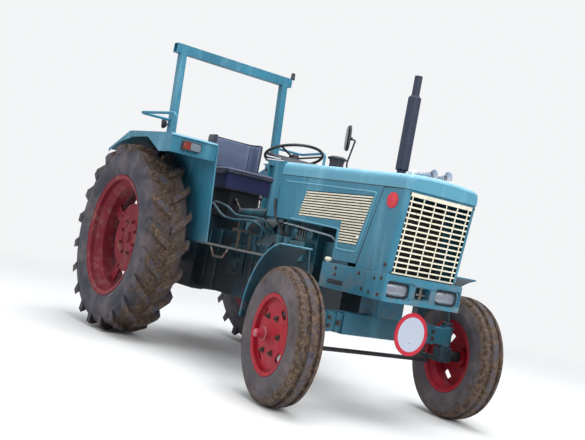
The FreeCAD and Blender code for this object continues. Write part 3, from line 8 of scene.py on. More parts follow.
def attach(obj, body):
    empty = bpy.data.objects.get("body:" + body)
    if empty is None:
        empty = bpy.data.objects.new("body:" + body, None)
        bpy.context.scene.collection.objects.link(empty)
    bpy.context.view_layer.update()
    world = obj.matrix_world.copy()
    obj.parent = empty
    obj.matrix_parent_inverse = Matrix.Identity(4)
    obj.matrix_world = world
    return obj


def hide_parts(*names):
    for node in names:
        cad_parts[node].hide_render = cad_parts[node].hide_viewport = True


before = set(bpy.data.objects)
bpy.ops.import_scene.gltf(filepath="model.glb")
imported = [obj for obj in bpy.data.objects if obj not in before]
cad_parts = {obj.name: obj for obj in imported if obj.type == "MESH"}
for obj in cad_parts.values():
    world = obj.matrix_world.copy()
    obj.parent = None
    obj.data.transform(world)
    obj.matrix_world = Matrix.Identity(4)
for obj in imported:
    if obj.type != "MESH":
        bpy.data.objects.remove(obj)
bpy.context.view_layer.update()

# Farm tractor: finishes, seat, lamps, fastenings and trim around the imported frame.
# Metres, +X forward, +Y the tractor's left, +Z up.

SIDES = (("left", 1), ("right", -1))
# The source counts X from the rear axle in millimetres; the origin lies this far ahead.
MIDDLE = 879.3417
STEER = -8.3


def mm(x, y, z):
    """A point of the source in the scene's metres."""
    return Vector(((x - MIDDLE) / 1000, y / 1000, z / 1000))


def corner(sign):
    """How a front wheel's corner stands: turned to the right about its kingpin."""
    pin = Matrix.Translation(mm(2200, sign * 540, 0))
    return pin @ Matrix.Rotation(math.radians(STEER), 4, "Z") @ pin.inverted()


def linear(red, green, blue):
    """Colour as the shader wants it, from the values 0 to 255 of a paint card."""
    def one(value):
        value /= 255
        return value / 12.92 if value < 0.04045 else ((value + 0.055) / 1.055) ** 2.4
    return one(red), one(green), one(blue), 1.0


PETROL = linear(43, 114, 138)
# Faded petrol paint, also laid on upward faces as painted light.
PETROL_FADED_AND_LIT = linear(122, 174, 192)
PETROL_DEEP = linear(26, 82, 104)
RED = linear(112, 20, 38)
CREAM = linear(226, 220, 200)
SOIL = linear(134, 112, 98)
SOIL_DARK = linear(84, 66, 54)
RUST = linear(98, 62, 44)
GREASE = linear(26, 24, 24)
VINYL = linear(104, 106, 130)


# Finishes


class Finish:
    """A material whose layers of colour, roughness and relief lie over one another."""

    def __init__(self, name, colour, roughness, metallic=0.0):
        self.material = bpy.data.materials.new(name)
        self.material.use_nodes = True
        tree = self.material.node_tree
        self.nodes, self.links = tree.nodes, tree.links
        self.shader = self.nodes["Principled BSDF"]
        self.shader.inputs["Metallic"].default_value = metallic
        self.place = self.nodes.new("ShaderNodeTexCoord").outputs["Object"]
        self.geometry = self.nodes.new("ShaderNodeNewGeometry").outputs
        self.colour, self.roughness, self.normal = colour, roughness, None

    def feed(self, socket, value):
        if isinstance(value, bpy.types.NodeSocket):
            self.links.new(value, socket)
        else:
            socket.default_value = value

    def math(self, operation, a, b=0.0):
        node = self.nodes.new("ShaderNodeMath")
        node.operation = operation
        node.use_clamp = True
        self.feed(node.inputs[0], a)
        self.feed(node.inputs[1], b)
        return node.outputs[0]

    def stretched(self, stretch):
        node = self.nodes.new("ShaderNodeVectorMath")
        node.operation = "MULTIPLY"
        self.links.new(self.place, node.inputs[0])
        node.inputs[1].default_value = stretch
        return node.outputs[0]

    def noise(self, scale, detail=4.0, rough=0.55, stretch=(1, 1, 1)):
        node = self.nodes.new("ShaderNodeTexNoise")
        node.inputs["Scale"].default_value = scale
        node.inputs["Detail"].default_value = detail
        node.inputs["Roughness"].default_value = rough
        self.links.new(self.stretched(stretch), node.inputs["Vector"])
        return node.outputs["Fac"]

    def cells(self, scale, feature="F1", stretch=(1, 1, 1)):
        node = self.nodes.new("ShaderNodeTexVoronoi")
        node.feature = feature
        node.inputs["Scale"].default_value = scale
        self.links.new(self.stretched(stretch), node.inputs["Vector"])
        return node.outputs["Distance"]

    def waves(self, scale, axis):
        node = self.nodes.new("ShaderNodeTexWave")
        node.bands_direction = axis
        node.inputs["Scale"].default_value = scale
        self.links.new(self.place, node.inputs["Vector"])
        return node.outputs["Fac"]

    def ramp(self, value, low, high):
        """0 below low and 1 above high, with a soft step between them."""
        node = self.nodes.new("ShaderNodeMapRange")
        node.interpolation_type = "SMOOTHSTEP"
        self.feed(node.inputs["Value"], value)
        node.inputs["From Min"].default_value = low
        node.inputs["From Max"].default_value = high
        return node.outputs["Result"]

    def height(self):
        node = self.nodes.new("ShaderNodeSeparateXYZ")
        self.links.new(self.place, node.inputs[0])
        return node.outputs["Z"]

    def across(self):
        """Distance from the middle plane."""
        node = self.nodes.new("ShaderNodeSeparateXYZ")
        self.links.new(self.place, node.inputs[0])
        return self.math("ABSOLUTE", node.outputs["Y"])

    def turn(self, pivot, degrees):
        """Reads the places as if the piece were turned back about an upright pin."""
        node = self.nodes.new("ShaderNodeVectorRotate")
        node.rotation_type = "Z_AXIS"
        node.inputs["Center"].default_value = pivot
        node.inputs["Angle"].default_value = -math.radians(degrees)
        self.links.new(self.place, node.inputs["Vector"])
        self.place = node.outputs[0]

    def distance(self, centre, stretch):
        """Distance from a point, or from a line through it where stretch has a 0."""
        offset = self.nodes.new("ShaderNodeVectorMath")
        offset.operation = "SUBTRACT"
        self.links.new(self.place, offset.inputs[0])
        offset.inputs[1].default_value = centre
        flat = self.nodes.new("ShaderNodeVectorMath")
        flat.operation = "MULTIPLY"
        self.links.new(offset.outputs[0], flat.inputs[0])
        flat.inputs[1].default_value = stretch
        length = self.nodes.new("ShaderNodeVectorMath")
        length.operation = "LENGTH"
        self.links.new(flat.outputs[0], length.inputs[0])
        return length.outputs["Value"]

    def upward(self):
        node = self.nodes.new("ShaderNodeSeparateXYZ")
        self.links.new(self.geometry["Normal"], node.inputs[0])
        return node.outputs["Z"]

    def edges(self, radius):
        """Near 1 on sharp outer edges, from how far the rounded normal leaves the true one."""
        round_normal = self.nodes.new("ShaderNodeBevel")
        round_normal.samples = 4
        round_normal.inputs["Radius"].default_value = radius
        dot = self.nodes.new("ShaderNodeVectorMath")
        dot.operation = "DOT_PRODUCT"
        self.links.new(round_normal.outputs[0], dot.inputs[0])
        self.links.new(self.geometry["Normal"], dot.inputs[1])
        self.normal = self.normal or round_normal.outputs[0]
        return self.math("SUBTRACT", 1.0, dot.outputs["Value"])

    def layer(self, mask, colour, roughness=None):
        node = self.nodes.new("ShaderNodeMix")
        node.data_type = "RGBA"
        self.feed(node.inputs[0], mask)
        self.feed(node.inputs[6], self.colour)
        self.feed(node.inputs[7], colour)
        self.colour = node.outputs[2]
        if roughness is not None:
            blend = self.nodes.new("ShaderNodeMix")
            self.feed(blend.inputs[0], mask)
            self.feed(blend.inputs[2], self.roughness)
            self.feed(blend.inputs[3], roughness)
            self.roughness = blend.outputs[0]

    def relief(self, value, depth, strength=1.0):
        node = self.nodes.new("ShaderNodeBump")
        node.inputs["Strength"].default_value = strength
        node.inputs["Distance"].default_value = depth
        self.links.new(value, node.inputs["Height"])
        if self.normal is not None:
            self.links.new(self.normal, node.inputs["Normal"])
        self.normal = node.outputs["Normal"]

    def done(self, **sockets):
        self.feed(self.shader.inputs["Base Color"], self.colour)
        self.feed(self.shader.inputs["Roughness"], self.roughness)
        if self.normal is not None:
            self.links.new(self.normal, self.shader.inputs["Normal"])
        for name, value in sockets.items():
            self.shader.inputs[name.replace("_", " ")].default_value = value
        return self.material


def old_paint(name, colour, faded_and_lit, deep, mud_top, soil=0.5, shine=0.42, wear=RUST,
              shade_above=None, ring=None):
    """Weathered paint: lighter on upward faces as painted light from above, streaked, chipped to rust at edges,
    muddy low down.
    """
    f = Finish(name, colour, shine)
    edge = f.edges(0.004)
    patches = f.noise(2.3, 5)
    streaks = f.noise(9, 3, 0.6, (1, 1, 0.16))
    specks = f.noise(70, 3)
    f.layer(f.math("MULTIPLY", f.ramp(patches, 0.35, 0.72), 0.5), deep, shine + 0.08)
    f.layer(f.math("MULTIPLY", f.ramp(streaks, 0.5, 0.75), 0.35), faded_and_lit, shine + 0.14)
    # Painted light: upward faces are coloured lighter, as if lit from above.
    top = f.math("MULTIPLY", f.ramp(f.upward(), 0.3, 0.95), f.ramp(patches, 0.15, 0.6))
    f.layer(f.math("MULTIPLY", top, 0.9), faded_and_lit, shine + 0.1)
    f.layer(f.math("MULTIPLY", f.ramp(specks, 0.66, 0.72), f.ramp(streaks, 0.5, 0.62)),
            wear, 0.8)
    worn = f.math("MULTIPLY", f.ramp(edge, 0.02, 0.16), f.ramp(f.noise(26, 4), 0.44, 0.6))
    f.layer(f.math("MULTIPLY", worn, 0.7), faded_and_lit, 0.5)
    f.layer(f.math("MULTIPLY", worn, f.ramp(f.noise(55, 3), 0.52, 0.62)), wear, 0.8)
    # Painted shade: above this height the paint is coloured dark grey-blue.
    if shade_above:
        f.layer(f.ramp(f.height(), shade_above, shade_above + 0.002), linear(30, 33, 42), 0.5)
    if ring:
        centre, inner, tone = ring
        away = f.distance(centre, (0, 1, 1))
        f.layer(f.ramp(away, inner, inner + 0.0015), tone, 0.4)
        f.layer(f.ramp(away, inner + 0.0245, inner + 0.026), linear(40, 44, 50), 0.5)
    low = f.math("SUBTRACT", 1.0, f.ramp(f.height(), mud_top - 0.45, mud_top))
    splash = f.ramp(f.noise(12, 7, 0.68), 0.46, 0.62)
    mud = f.math("MULTIPLY", low, splash)
    f.layer(f.math("MULTIPLY", mud, soil), SOIL, 0.92)
    f.relief(f.noise(160, 2), 0.0004, 0.35)
    f.relief(mud, 0.002, 0.5)
    return f.done(Specular_IOR_Level=0.45)


def greasy_paint(name, colour, grime=0.75):
    """Paint of the engine and gearbox under oil, dust and soil, darker low down as grime and painted shade."""
    f = Finish(name, colour, 0.55)
    edge = f.edges(0.006)
    patches = f.noise(5, 6, 0.62)
    f.layer(f.math("MULTIPLY", f.ramp(patches, 0.42, 0.66), grime), GREASE, 0.42)
    # Partly grime and partly painted shade: the paint goes dark low down.
    low = f.math("SUBTRACT", 1.0, f.ramp(f.height(), 0.62, 0.86))
    f.layer(f.math("MULTIPLY", low, f.ramp(f.noise(3, 4), 0.2, 0.5)), linear(20, 34, 42), 0.6)
    dust = f.math("MULTIPLY", f.ramp(f.upward(), 0.2, 0.9), f.ramp(f.noise(17, 5), 0.3, 0.6))
    f.layer(f.math("MULTIPLY", dust, 0.35), SOIL, 0.9)
    f.layer(f.math("MULTIPLY", f.ramp(edge, 0.03, 0.2), f.ramp(f.noise(30, 3), 0.45, 0.6)),
            PETROL_FADED_AND_LIT, 0.5)
    f.layer(f.math("MULTIPLY", f.ramp(f.noise(38, 4), 0.6, 0.7), 0.3), RUST, 0.85)
    f.relief(f.noise(120, 4), 0.0012, 0.5)
    return f.done()


def worn_rubber(name, centre, crown, groove, half, tone, mud_share, pivot=None):
    """Aged rubber: soil in the tread's grooves, rubbed lug tops and a dusty sidewall."""
    f = Finish(name, tone, 0.72)
    if pivot:
        f.turn(pivot, STEER)
    reach = f.distance(centre, (1, 0, 1))
    aside = f.distance(centre, (0, 1, 0))
    f.layer(f.math("MULTIPLY", f.ramp(f.noise(6, 6, 0.65), 0.38, 0.7), 0.6),
            linear(84, 80, 86), 0.85)
    fine = f.noise(30, 7, 0.72)
    clods = f.noise(5, 6, 0.62)
    tread = f.math("MULTIPLY", f.ramp(reach, groove - 0.03, groove),
                   f.math("SUBTRACT", 1.0, f.ramp(aside, half * 0.82, half)))
    cover = f.ramp(clods, 0.56 - mud_share * 0.34, 0.66 - mud_share * 0.26)
    mud = f.math("MULTIPLY", tread, f.math("MULTIPLY", cover, f.ramp(fine, 0.26, 0.5)))
    tips = f.math("MULTIPLY", f.ramp(reach, crown - 0.012, crown - 0.003),
                  f.ramp(f.noise(11, 6, 0.7), 0.44, 0.6))
    kept = f.math("SUBTRACT", 1.0, f.math("MULTIPLY", tips, 0.8))
    mud = f.math("MULTIPLY", mud, kept)
    shoulder = f.math("MULTIPLY", f.ramp(reach, groove - 0.09, groove - 0.02),
                      f.math("MULTIPLY", f.ramp(f.noise(14, 8, 0.75), 0.5, 0.62), mud_share))
    mud = f.math("MAXIMUM", mud, shoulder)
    f.layer(mud, linear(108, 88, 72), 0.97)
    f.layer(f.math("MULTIPLY", mud, f.ramp(f.noise(44, 7, 0.7), 0.42, 0.56)), linear(62, 50, 44), 0.97)
    f.layer(f.math("MULTIPLY", tips, f.ramp(fine, 0.3, 0.6)), linear(74, 74, 88), 0.8)
    wall = f.math("MULTIPLY", f.math("SUBTRACT", 1.0, tread), f.ramp(clods, 0.42, 0.66))
    f.layer(f.math("MULTIPLY", wall, 0.25 + 0.4 * mud_share), linear(112, 102, 104), 0.92)
    f.relief(f.noise(230, 3), 0.0008, 0.4)
    f.relief(f.math("MULTIPLY", mud, fine), 0.012, 0.8)
    # Moulded rings round the sidewall
    rings = f.math("SINE", f.math("MULTIPLY_ADD", reach, 300.0))
    f.relief(f.math("MULTIPLY", f.ramp(rings, 0.4, 1.0), f.math("SUBTRACT", 1.0, tread)), 0.003, 0.5)
    return f.done(Specular_IOR_Level=0.35)


def dusty_rim(name, colour, mud_share):
    """Red wheel paint, dulled by dust, with soil caught in the dish."""
    f = Finish(name, colour, 0.58)
    edge = f.edges(0.004)
    f.layer(f.math("MULTIPLY", f.ramp(f.noise(6, 6, 0.65), 0.36, 0.68), 0.55),
            linear(136, 34, 52), 0.6)
    f.layer(f.math("MULTIPLY", f.ramp(edge, 0.03, 0.2), f.ramp(f.noise(40, 4), 0.42, 0.58)),
            RUST, 0.8)
    f.layer(f.math("MULTIPLY", f.ramp(f.noise(55, 4), 0.6, 0.68), 0.8), RUST, 0.85)
    f.layer(f.math("MULTIPLY", f.ramp(f.noise(11, 7, 0.68), 0.5, 0.64), mud_share), SOIL, 0.93)
    f.relief(f.noise(150, 3), 0.0006, 0.35)
    return f.done(Specular_IOR_Level=0.3)


def cream_enamel(name, lie=(0, 0, 0), front=-9.0):
    """Cream enamel; behind its front face, found by the lie of that face, it is coloured dark as painted shade
    in the recess.
    """
    f = Finish(name, CREAM, 0.5)
    edge = f.edges(0.002)
    f.layer(f.math("MULTIPLY", f.ramp(f.noise(14, 5), 0.4, 0.7), 0.4), linear(198, 186, 160), 0.6)
    f.layer(f.math("MULTIPLY", f.ramp(edge, 0.04, 0.25), f.ramp(f.noise(60, 3), 0.5, 0.62)),
            RUST, 0.8)
    f.layer(f.math("MULTIPLY", f.ramp(f.noise(45, 5), 0.6, 0.7), 0.6), linear(140, 120, 98), 0.8)
    # Painted shade: the parts set back behind the front face are coloured dark.
    if any(lie):
        fold = f.nodes.new("ShaderNodeVectorMath")
        fold.operation = "ABSOLUTE"
        f.links.new(f.place, fold.inputs[0])
        along = f.nodes.new("ShaderNodeVectorMath")
        along.operation = "DOT_PRODUCT"
        f.links.new(fold.outputs[0], along.inputs[0])
        along.inputs[1].default_value = lie
        behind = f.math("SUBTRACT", 1.0, f.ramp(along.outputs["Value"], front - 0.0052,
                                                front - 0.0036))
        f.layer(behind, linear(46, 40, 36), 0.85)
    f.relief(f.noise(200, 2), 0.0004, 0.3)
    return f.done()


def matt_black(name, tone=(34, 35, 37), rough=0.6, rusty=0.35, grain=220, shade_below=None,
               shade_behind=-9.0):
    f = Finish(name, linear(*tone), rough)
    f.layer(f.math("MULTIPLY", f.ramp(f.noise(9, 6, 0.65), 0.42, 0.66), 0.5),
            linear(*(channel + 18 for channel in tone)), rough + 0.15)
    f.layer(f.math("MULTIPLY", f.ramp(f.noise(33, 5, 0.6), 0.56, 0.68), rusty), RUST, 0.85)
    # Painted shade: low down and towards the rear the piece is coloured near black.
    if shade_below:
        split = f.nodes.new("ShaderNodeSeparateXYZ")
        f.links.new(f.place, split.inputs[0])
        lit = f.math("MULTIPLY", f.ramp(f.height(), shade_below, shade_below + 0.01),
                     f.ramp(split.outputs["X"], shade_behind, shade_behind + 0.03))
        f.layer(f.math("SUBTRACT", 1.0, lit), linear(18, 21, 32), 0.75)
    f.relief(f.noise(grain, 3), 0.0006, 0.4)
    return f.done()


def bare_steel(name, tone=(120, 116, 112), rough=0.38):
    f = Finish(name, linear(*tone), rough, 0.9)
    f.layer(f.ramp(f.noise(24, 6, 0.65), 0.5, 0.62), RUST, 0.8)
    f.layer(f.math("MULTIPLY", f.ramp(f.noise(7, 5), 0.45, 0.7), 0.6), linear(64, 60, 57), 0.6)
    f.relief(f.noise(170, 3, 0.5, (1, 1, 0.2)), 0.0005, 0.35)
    return f.done()


def bright_chrome():
    f = Finish("bright_chrome", linear(214, 216, 220), 0.12, 1.0)
    f.layer(f.math("MULTIPLY", f.ramp(f.noise(30, 6, 0.7), 0.52, 0.68), 0.6),
            linear(150, 142, 132), 0.45)
    return f.done()


def seat_vinyl(name, tone, piped=False, side=None):
    """Grained vinyl with a soft sheen, painted light on upward faces and dust in the grain."""
    f = Finish(name, tone, 0.5)
    worn = tuple(min(1.0, channel * 1.7) for channel in tone[:3]) + (1,)
    f.layer(f.math("MULTIPLY", f.ramp(f.noise(6, 5), 0.35, 0.7), 0.45), worn, 0.56)
    if side:
        f.layer(f.ramp(f.across(), side[0], side[0] + 0.006), side[1])
    # Painted light: upward faces are tinted lighter.
    f.layer(f.math("MULTIPLY", f.ramp(f.upward(), 0.5, 1.0), 0.14), linear(100, 104, 130), 0.6)
    f.layer(f.math("MULTIPLY", f.ramp(f.noise(40, 6, 0.7), 0.55, 0.7), 0.25), SOIL, 0.8)
    if not piped:
        f.relief(f.cells(420), 0.0005, 0.5)
    f.relief(f.noise(18, 4), 0.0016, 0.35)
    return f.done(Sheen_Weight=0.15)


def lamp_lens(name, tone, ribs, outer_tone=None):
    f = Finish(name, linear(*tone), 0.2, 0.55)
    if outer_tone:
        f.layer(f.ramp(f.across(), 0.668, 0.670), linear(*outer_tone))
    f.layer(f.math("MULTIPLY", f.ramp(f.noise(45, 5), 0.5, 0.68), 0.3), SOIL, 0.6)
    f.relief(f.waves(ribs, "Y"), 0.002, 0.6)
    return f.done(Coat_Weight=0.6, Coat_Roughness=0.08)


def horn_metal():
    """White horn motors behind chromed bells."""
    f = Finish("horn_metal", linear(196, 196, 206), 0.5, 0.7)
    node = f.nodes.new("ShaderNodeSeparateXYZ")
    f.links.new(f.place, node.inputs[0])
    motor = f.math("SUBTRACT", 1.0, f.ramp(node.outputs["X"], 1.381, 1.383))
    f.layer(motor, linear(214, 214, 222), 0.5)
    blend = f.math("SUBTRACT", 1.0, motor)
    f.links.new(f.math("MULTIPLY", blend, 0.7), f.shader.inputs["Metallic"])
    f.layer(f.math("MULTIPLY", f.ramp(f.noise(60, 5), 0.54, 0.7), 0.5), linear(110, 104, 100), 0.6)
    return f.done()


def radiator_core():
    f = Finish("radiator_core", linear(24, 24, 25), 0.7)
    f.layer(f.math("MULTIPLY", f.waves(60, "Z"), 0.5), linear(66, 62, 58), 0.8)
    f.layer(f.math("MULTIPLY", f.ramp(f.noise(12, 6), 0.5, 0.66), 0.7), SOIL_DARK, 0.9)
    f.relief(f.waves(60, "Z"), 0.003, 0.8)
    f.relief(f.waves(14, "Y"), 0.003, 0.6)
    return f.done()


BODY = old_paint("petrol_paint", PETROL, PETROL_FADED_AND_LIT, PETROL_DEEP, 1.05, 0.35)
# Painted light: a lighter copy of the body paint for the bonnet top and the pressed beads, as if lit from above.
HOOD_LIT = old_paint("hood_paint_lit", linear(84, 146, 168), linear(140, 188, 208), linear(60, 124, 148),
                 1.05, 0.3)
# Painted shade: the dash top above 1.3925 m is coloured dark.
DASH = old_paint("dash_paint", PETROL, PETROL_FADED_AND_LIT, PETROL_DEEP, 1.05, 0.3, shade_above=1.3925)
LOW_BODY = old_paint("petrol_paint_low", linear(30, 88, 108), PETROL, linear(24, 70, 88),
                     0.85, 0.4, 0.5)
AXLE = old_paint("axle_paint", linear(32, 88, 106), linear(64, 122, 142), linear(24, 60, 74),
                 0.55, 0.6, 0.5)
DECK_BODY = old_paint("deck_paint", linear(80, 88, 90), linear(110, 104, 98),
                      linear(70, 74, 76), 0.85, 0.9, 0.7)
# Painted shade: a darker copy of the body paint for the front mudguards.
GUARD_SHADED = old_paint("guard_paint_shaded", linear(28, 58, 72), linear(60, 108, 126), linear(24, 40, 50),
                  0.75, 0.5, 0.5)
ENGINE = greasy_paint("engine_paint", linear(30, 86, 102), 0.7)
CASTING = greasy_paint("casting_paint", linear(24, 68, 84), 0.8)
RUBBER = {
    "tyre_rear_left": worn_rubber("rear_rubber_left", mm(0, 660, 700), 0.7, 0.668, 0.16,
                                  linear(46, 46, 58), 0.62),
    "tyre_rear_right": worn_rubber("rear_rubber_right", mm(0, -660, 700), 0.7, 0.668, 0.16,
                                   linear(46, 46, 58), 0.62),
    "tyre_front_left": worn_rubber("front_rubber_left", mm(2200, 645, 375), 0.375, 0.34, 0.085,
                                   linear(72, 68, 73), 1.0, mm(2200, 540, 0)),
    "tyre_front_right": worn_rubber("front_rubber_right", mm(2200, -645, 375), 0.375, 0.34,
                                    0.085, linear(72, 68, 73), 1.0, mm(2200, -540, 0)),
}
PINK_RIM = dusty_rim("hub_cap_red", linear(176, 112, 120), 0.3)
REAR_RIM = dusty_rim("rear_rim_red", RED, 0.35)
HUB_RED = dusty_rim("hub_red", linear(88, 22, 34), 0.5)
FRONT_RIM = dusty_rim("front_rim_red", linear(158, 6, 34), 0.14)
CREAM_PAINT = cream_enamel("cream_enamel")
GRILLE_PAINT = cream_enamel("grille_enamel", (1, 0, -0.1047), 1.5282)
LOUVRE_PAINT = cream_enamel("louvre_enamel", (0, 1, 0), 0.2627)
SOOT = matt_black("sooty_black", (25, 33, 54), 0.62, 0.08)
MATT = matt_black("matt_black", (34, 36, 42))
MOULDED = matt_black("moulded_black", (24, 25, 30), 0.42, 0.05, 300)
# Painted shade: the seat base goes near black low down and towards the rear.
NAVY = matt_black("navy_cover", (6, 14, 66), 0.6, 0.02, 300, 1.19, -0.62)
STEEL = bare_steel("worn_steel")
NUTS = bare_steel("dark_nuts", (84, 72, 70), 0.55)
CHROME = bright_chrome()
HORN = horn_metal()
WHITE_METAL = matt_black("white_metal", (208, 210, 216), 0.4, 0.02, 300)
CUSHION = seat_vinyl("cushion_vinyl", linear(30, 38, 68), side=(0.212, linear(22, 26, 48)))
BACKREST = seat_vinyl("backrest_vinyl", linear(72, 84, 110), side=(0.196, linear(24, 28, 52)))
PIPING = seat_vinyl("seat_piping", linear(26, 28, 44), True)
LENS = lamp_lens("ribbed_lens", (132, 138, 150), 34)
TWO_TONE = lamp_lens("two_tone_lens", (108, 124, 134), 30, (128, 44, 32))
PALE_PIPE = matt_black("pale_pipe", (140, 152, 160), 0.5, 0.15, 300)
DARK_GLASS = matt_black("mirror_glass", (66, 68, 84), 0.25, 0.05, 400)
TAN_GLASS = lamp_lens("work_lens", (196, 158, 136), 40)
CORE = radiator_core()
RED_TONE = linear(178, 16, 44)
WHITE = old_paint("sign_white", linear(172, 180, 196), linear(186, 193, 205),
                  linear(166, 172, 184), 0.45, 0.2, 0.35,
                  ring=(mm(2500, -19, 503), 0.094, RED_TONE))
SIGNAL_RED = old_paint("signal_red", linear(196, 30, 48), linear(200, 62, 70),
                       linear(170, 22, 36), 0.7, 0.1, 0.4)

NODE_FINISH = {
    "engine_block": ENGINE, "engine_fittings": ENGINE, "gearbox": CASTING,
    "rear_axle": CASTING, "drawbar": STEEL, "front_frame": BODY, "lamp_housing": BODY,
    "headlamps": MOULDED, "front_cowl": BODY, "grille": GRILLE_PAINT, "radiator": CORE,
    "hood_top": HOOD_LIT, "side_panels": BODY, "louvre_slats": LOUVRE_PAINT, "dash_cowl": DASH,
    "steering_column": MOULDED, "seat_base": NAVY,
    "foot_plates": DECK_BODY, "control_levers": STEEL, "fender_left": BODY,
    "fender_right": BODY, "fender_lamps": TWO_TONE, "handrails": BODY, "roll_bar": BODY,
    "exhaust_stack": SOOT, "air_cleaner": MATT, "mirror": MOULDED, "horns": HORN,
    "sign_plate": WHITE, "front_axle": AXLE, "steering_wheel": MOULDED, "tie_rod": MATT,
    "lower_links": LOW_BODY, "lift_arms": LOW_BODY, "lift_rods": STEEL,
    "knuckle_left": CASTING, "knuckle_right": CASTING, "front_fender_left": GUARD_SHADED,
    "front_fender_right": GUARD_SHADED, "rim_front_left": FRONT_RIM, "rim_front_right": FRONT_RIM,
    "rim_rear_left": REAR_RIM, "rim_rear_right": REAR_RIM, **RUBBER,
}
for node_name, finish in NODE_FINISH.items():
    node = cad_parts[node_name]
    node.data.materials.clear()
    node.data.materials.append(finish)


# Trim and fastenings


def put(item, finish, body):
    item.data.materials.append(finish)
    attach(item, body)
    return item


class Shape:
    """The faces of one piece, gathered from turned forms and blocks."""

    def __init__(self):
        self.mesh = bmesh.new()

    def turned(self, at, axis, profile, sides=20):
        """A profile of (along the axis, radius) in millimetres, turned about it."""
        axis = Vector(axis)
        stand = Matrix.Translation(at) @ axis.to_track_quat("Z", "Y").to_matrix().to_4x4()
        rings = []
        for along, radius in profile:
            count = sides if radius else 1
            rings.append([self.mesh.verts.new(stand @ Vector((
                radius / 1000 * math.cos(i * math.tau / sides),
                radius / 1000 * math.sin(i * math.tau / sides), along / 1000)))
                for i in range(count)])
        for near, far in zip(rings, rings[1:]):
            for i in range(sides):
                corners = (near[i % len(near)], near[(i + 1) % len(near)],
                           far[(i + 1) % len(far)], far[i % len(far)])
                corners = list(dict.fromkeys(corners))
                if len(corners) > 2:
                    self.mesh.faces.new(corners)

    def bolt(self, at, axis, radius=9, high=8):
        """A washer under a hexagonal head."""
        self.turned(at, axis, ((0, 0), (0, radius * 1.4), (high * 0.2, radius * 1.4),
                               (high * 0.2, 0)), 16)
        self.turned(at, axis, ((high * 0.2, 0), (high * 0.2, radius), (high * 0.8, radius),
                               (high, radius * 0.82), (high, 0)), 6)

    def block(self, low, high, edge=2.0):
        """A block between two corner points with rounded edges."""
        size = high - low
        made = bmesh.ops.create_cube(self.mesh, size=1, matrix=Matrix.Translation(
            (low + high) / 2) @ Matrix.Diagonal((*size, 1)))
        edges = list({e for v in made["verts"] for e in v.link_edges})
        bmesh.ops.bevel(self.mesh, geom=edges, offset=edge / 1000, segments=2, affect="EDGES",
                        profile=0.5)

    def done(self, name, finish, body, slot, stand=None):
        if stand:
            bmesh.ops.transform(self.mesh, matrix=stand, verts=self.mesh.verts)
        bmesh.ops.recalc_face_normals(self.mesh, faces=self.mesh.faces)
        for face in self.mesh.faces:
            face.smooth = True
        for edge in self.mesh.edges:
            edge.smooth = edge.calc_face_angle(0) < math.radians(36)
        data = bpy.data.meshes.new(name)
        self.mesh.to_mesh(data)
        self.mesh.free()
        item = bpy.data.objects.new(name, data)
        bpy.context.collection.objects.link(item)
        return put(item, finish, body)


def bars(name, finish, body, slot, radius, *paths, closed=False, stand=None):
    """Round bars or beads of one radius in millimetres, each along its points."""
    data = bpy.data.curves.new(name, "CURVE")
    data.dimensions = "3D"
    data.bevel_depth = radius / 1000
    data.bevel_resolution = 3
    data.resolution_u = 8
    data.use_fill_caps = True
    for path in paths:
        spline = data.splines.new("NURBS")
        spline.points.add(len(path) - 1)
        for point, place in zip(spline.points, path):
            point.co = (*(stand @ place if stand else place), 1)
        spline.order_u = 3
        spline.use_endpoint_u = not closed
        spline.use_cyclic_u = closed
    item = bpy.data.objects.new(name, data)
    bpy.context.collection.objects.link(item)
    return put(item, finish, body)


def kinked(*points):
    """The same points with each inner one doubled, so that a bar turns in a short bend."""
    path = [points[0]]
    for before, here, after in zip(points, points[1:], points[2:]):
        back, on = (before - here).normalized(), (after - here).normalized()
        path += [here + back * 0.012, here, here + on * 0.012]
    return path + [points[-1]]


# Wheels


def build_wheel_fastenings():
    for side, sign in SIDES:
        outward = Vector((0, sign, 0))
        nuts = Shape()
        for i in range(6):
            angle = math.radians(60 * i)
            at = mm(2200 + 106 * math.cos(angle), sign * 710, 375 + 106 * math.sin(angle))
            nuts.bolt(at, outward, 13, 14)
            nuts.turned(at, outward, ((13, 0), (13, 7), (20, 7), (22, 5), (22, 0)), 12)
        nuts.done("front_nuts_" + side, NUTS, "wheel_front_" + side, "steel", corner(sign))
        cap = Shape()
        cap.turned(mm(2200, sign * 799, 375), outward,
                   ((-16, 0), (-16, 21), (-10, 23), (-2, 21), (3, 16), (6, 9), (7, 0)), 24)
        cap.turned(mm(2200, sign * 744, 375), outward, ((0, 33.5), (2, 36), (9, 36), (11, 32)), 24)
        cap.done("front_cap_" + side, PINK_RIM, "wheel_front_" + side, "rim_paint", corner(sign))
        valve = Shape()
        valve.turned(mm(2335, sign * 688, 510), outward,
                     ((-4, 0), (-4, 5), (12, 5), (12, 4), (26, 4), (28, 3), (28, 0)), 10)
        valve.done("front_valve_" + side, MATT, "wheel_front_" + side, "black_plastic", corner(sign))

        studs = Shape()
        for i in range(8):
            angle = math.radians(45 * i + 22.5)
            at = mm(124 * math.cos(angle), sign * 666.5, 700 + 124 * math.sin(angle))
            studs.bolt(at, outward, 12, 14)
            studs.turned(at, outward, ((13, 0), (13, 7), (19, 7), (20, 6), (20, 0)), 12)
        for angle in (60, 150, 240, 330):
            for turn in (-7, 7):
                way = math.radians(angle + turn)
                studs.bolt(mm(246 * math.cos(way), sign * 657.5, 700 + 246 * math.sin(way)),
                           outward, 10, 9)
        studs.done("rear_studs_" + side, HUB_RED, "wheel_rear_" + side, "rim_paint")
        hub = Shape()
        hub.turned(mm(0, sign * 673, 700), outward,
                   ((0, 34), (4, 34), (6, 30), (6, 22), (3, 20), (3, 0)), 28)
        hub.done("rear_cap_" + side, REAR_RIM, "wheel_rear_" + side, "rim_paint")


# Bonnet


def ordered(one, other):
    """The low and the high corner of the block between two points."""
    return (Vector(min(pair) for pair in zip(one, other)),
            Vector(max(pair) for pair in zip(one, other)))


def seam_path(sign, *points):
    return [mm(x, sign * y, z) for x, y, z in points]


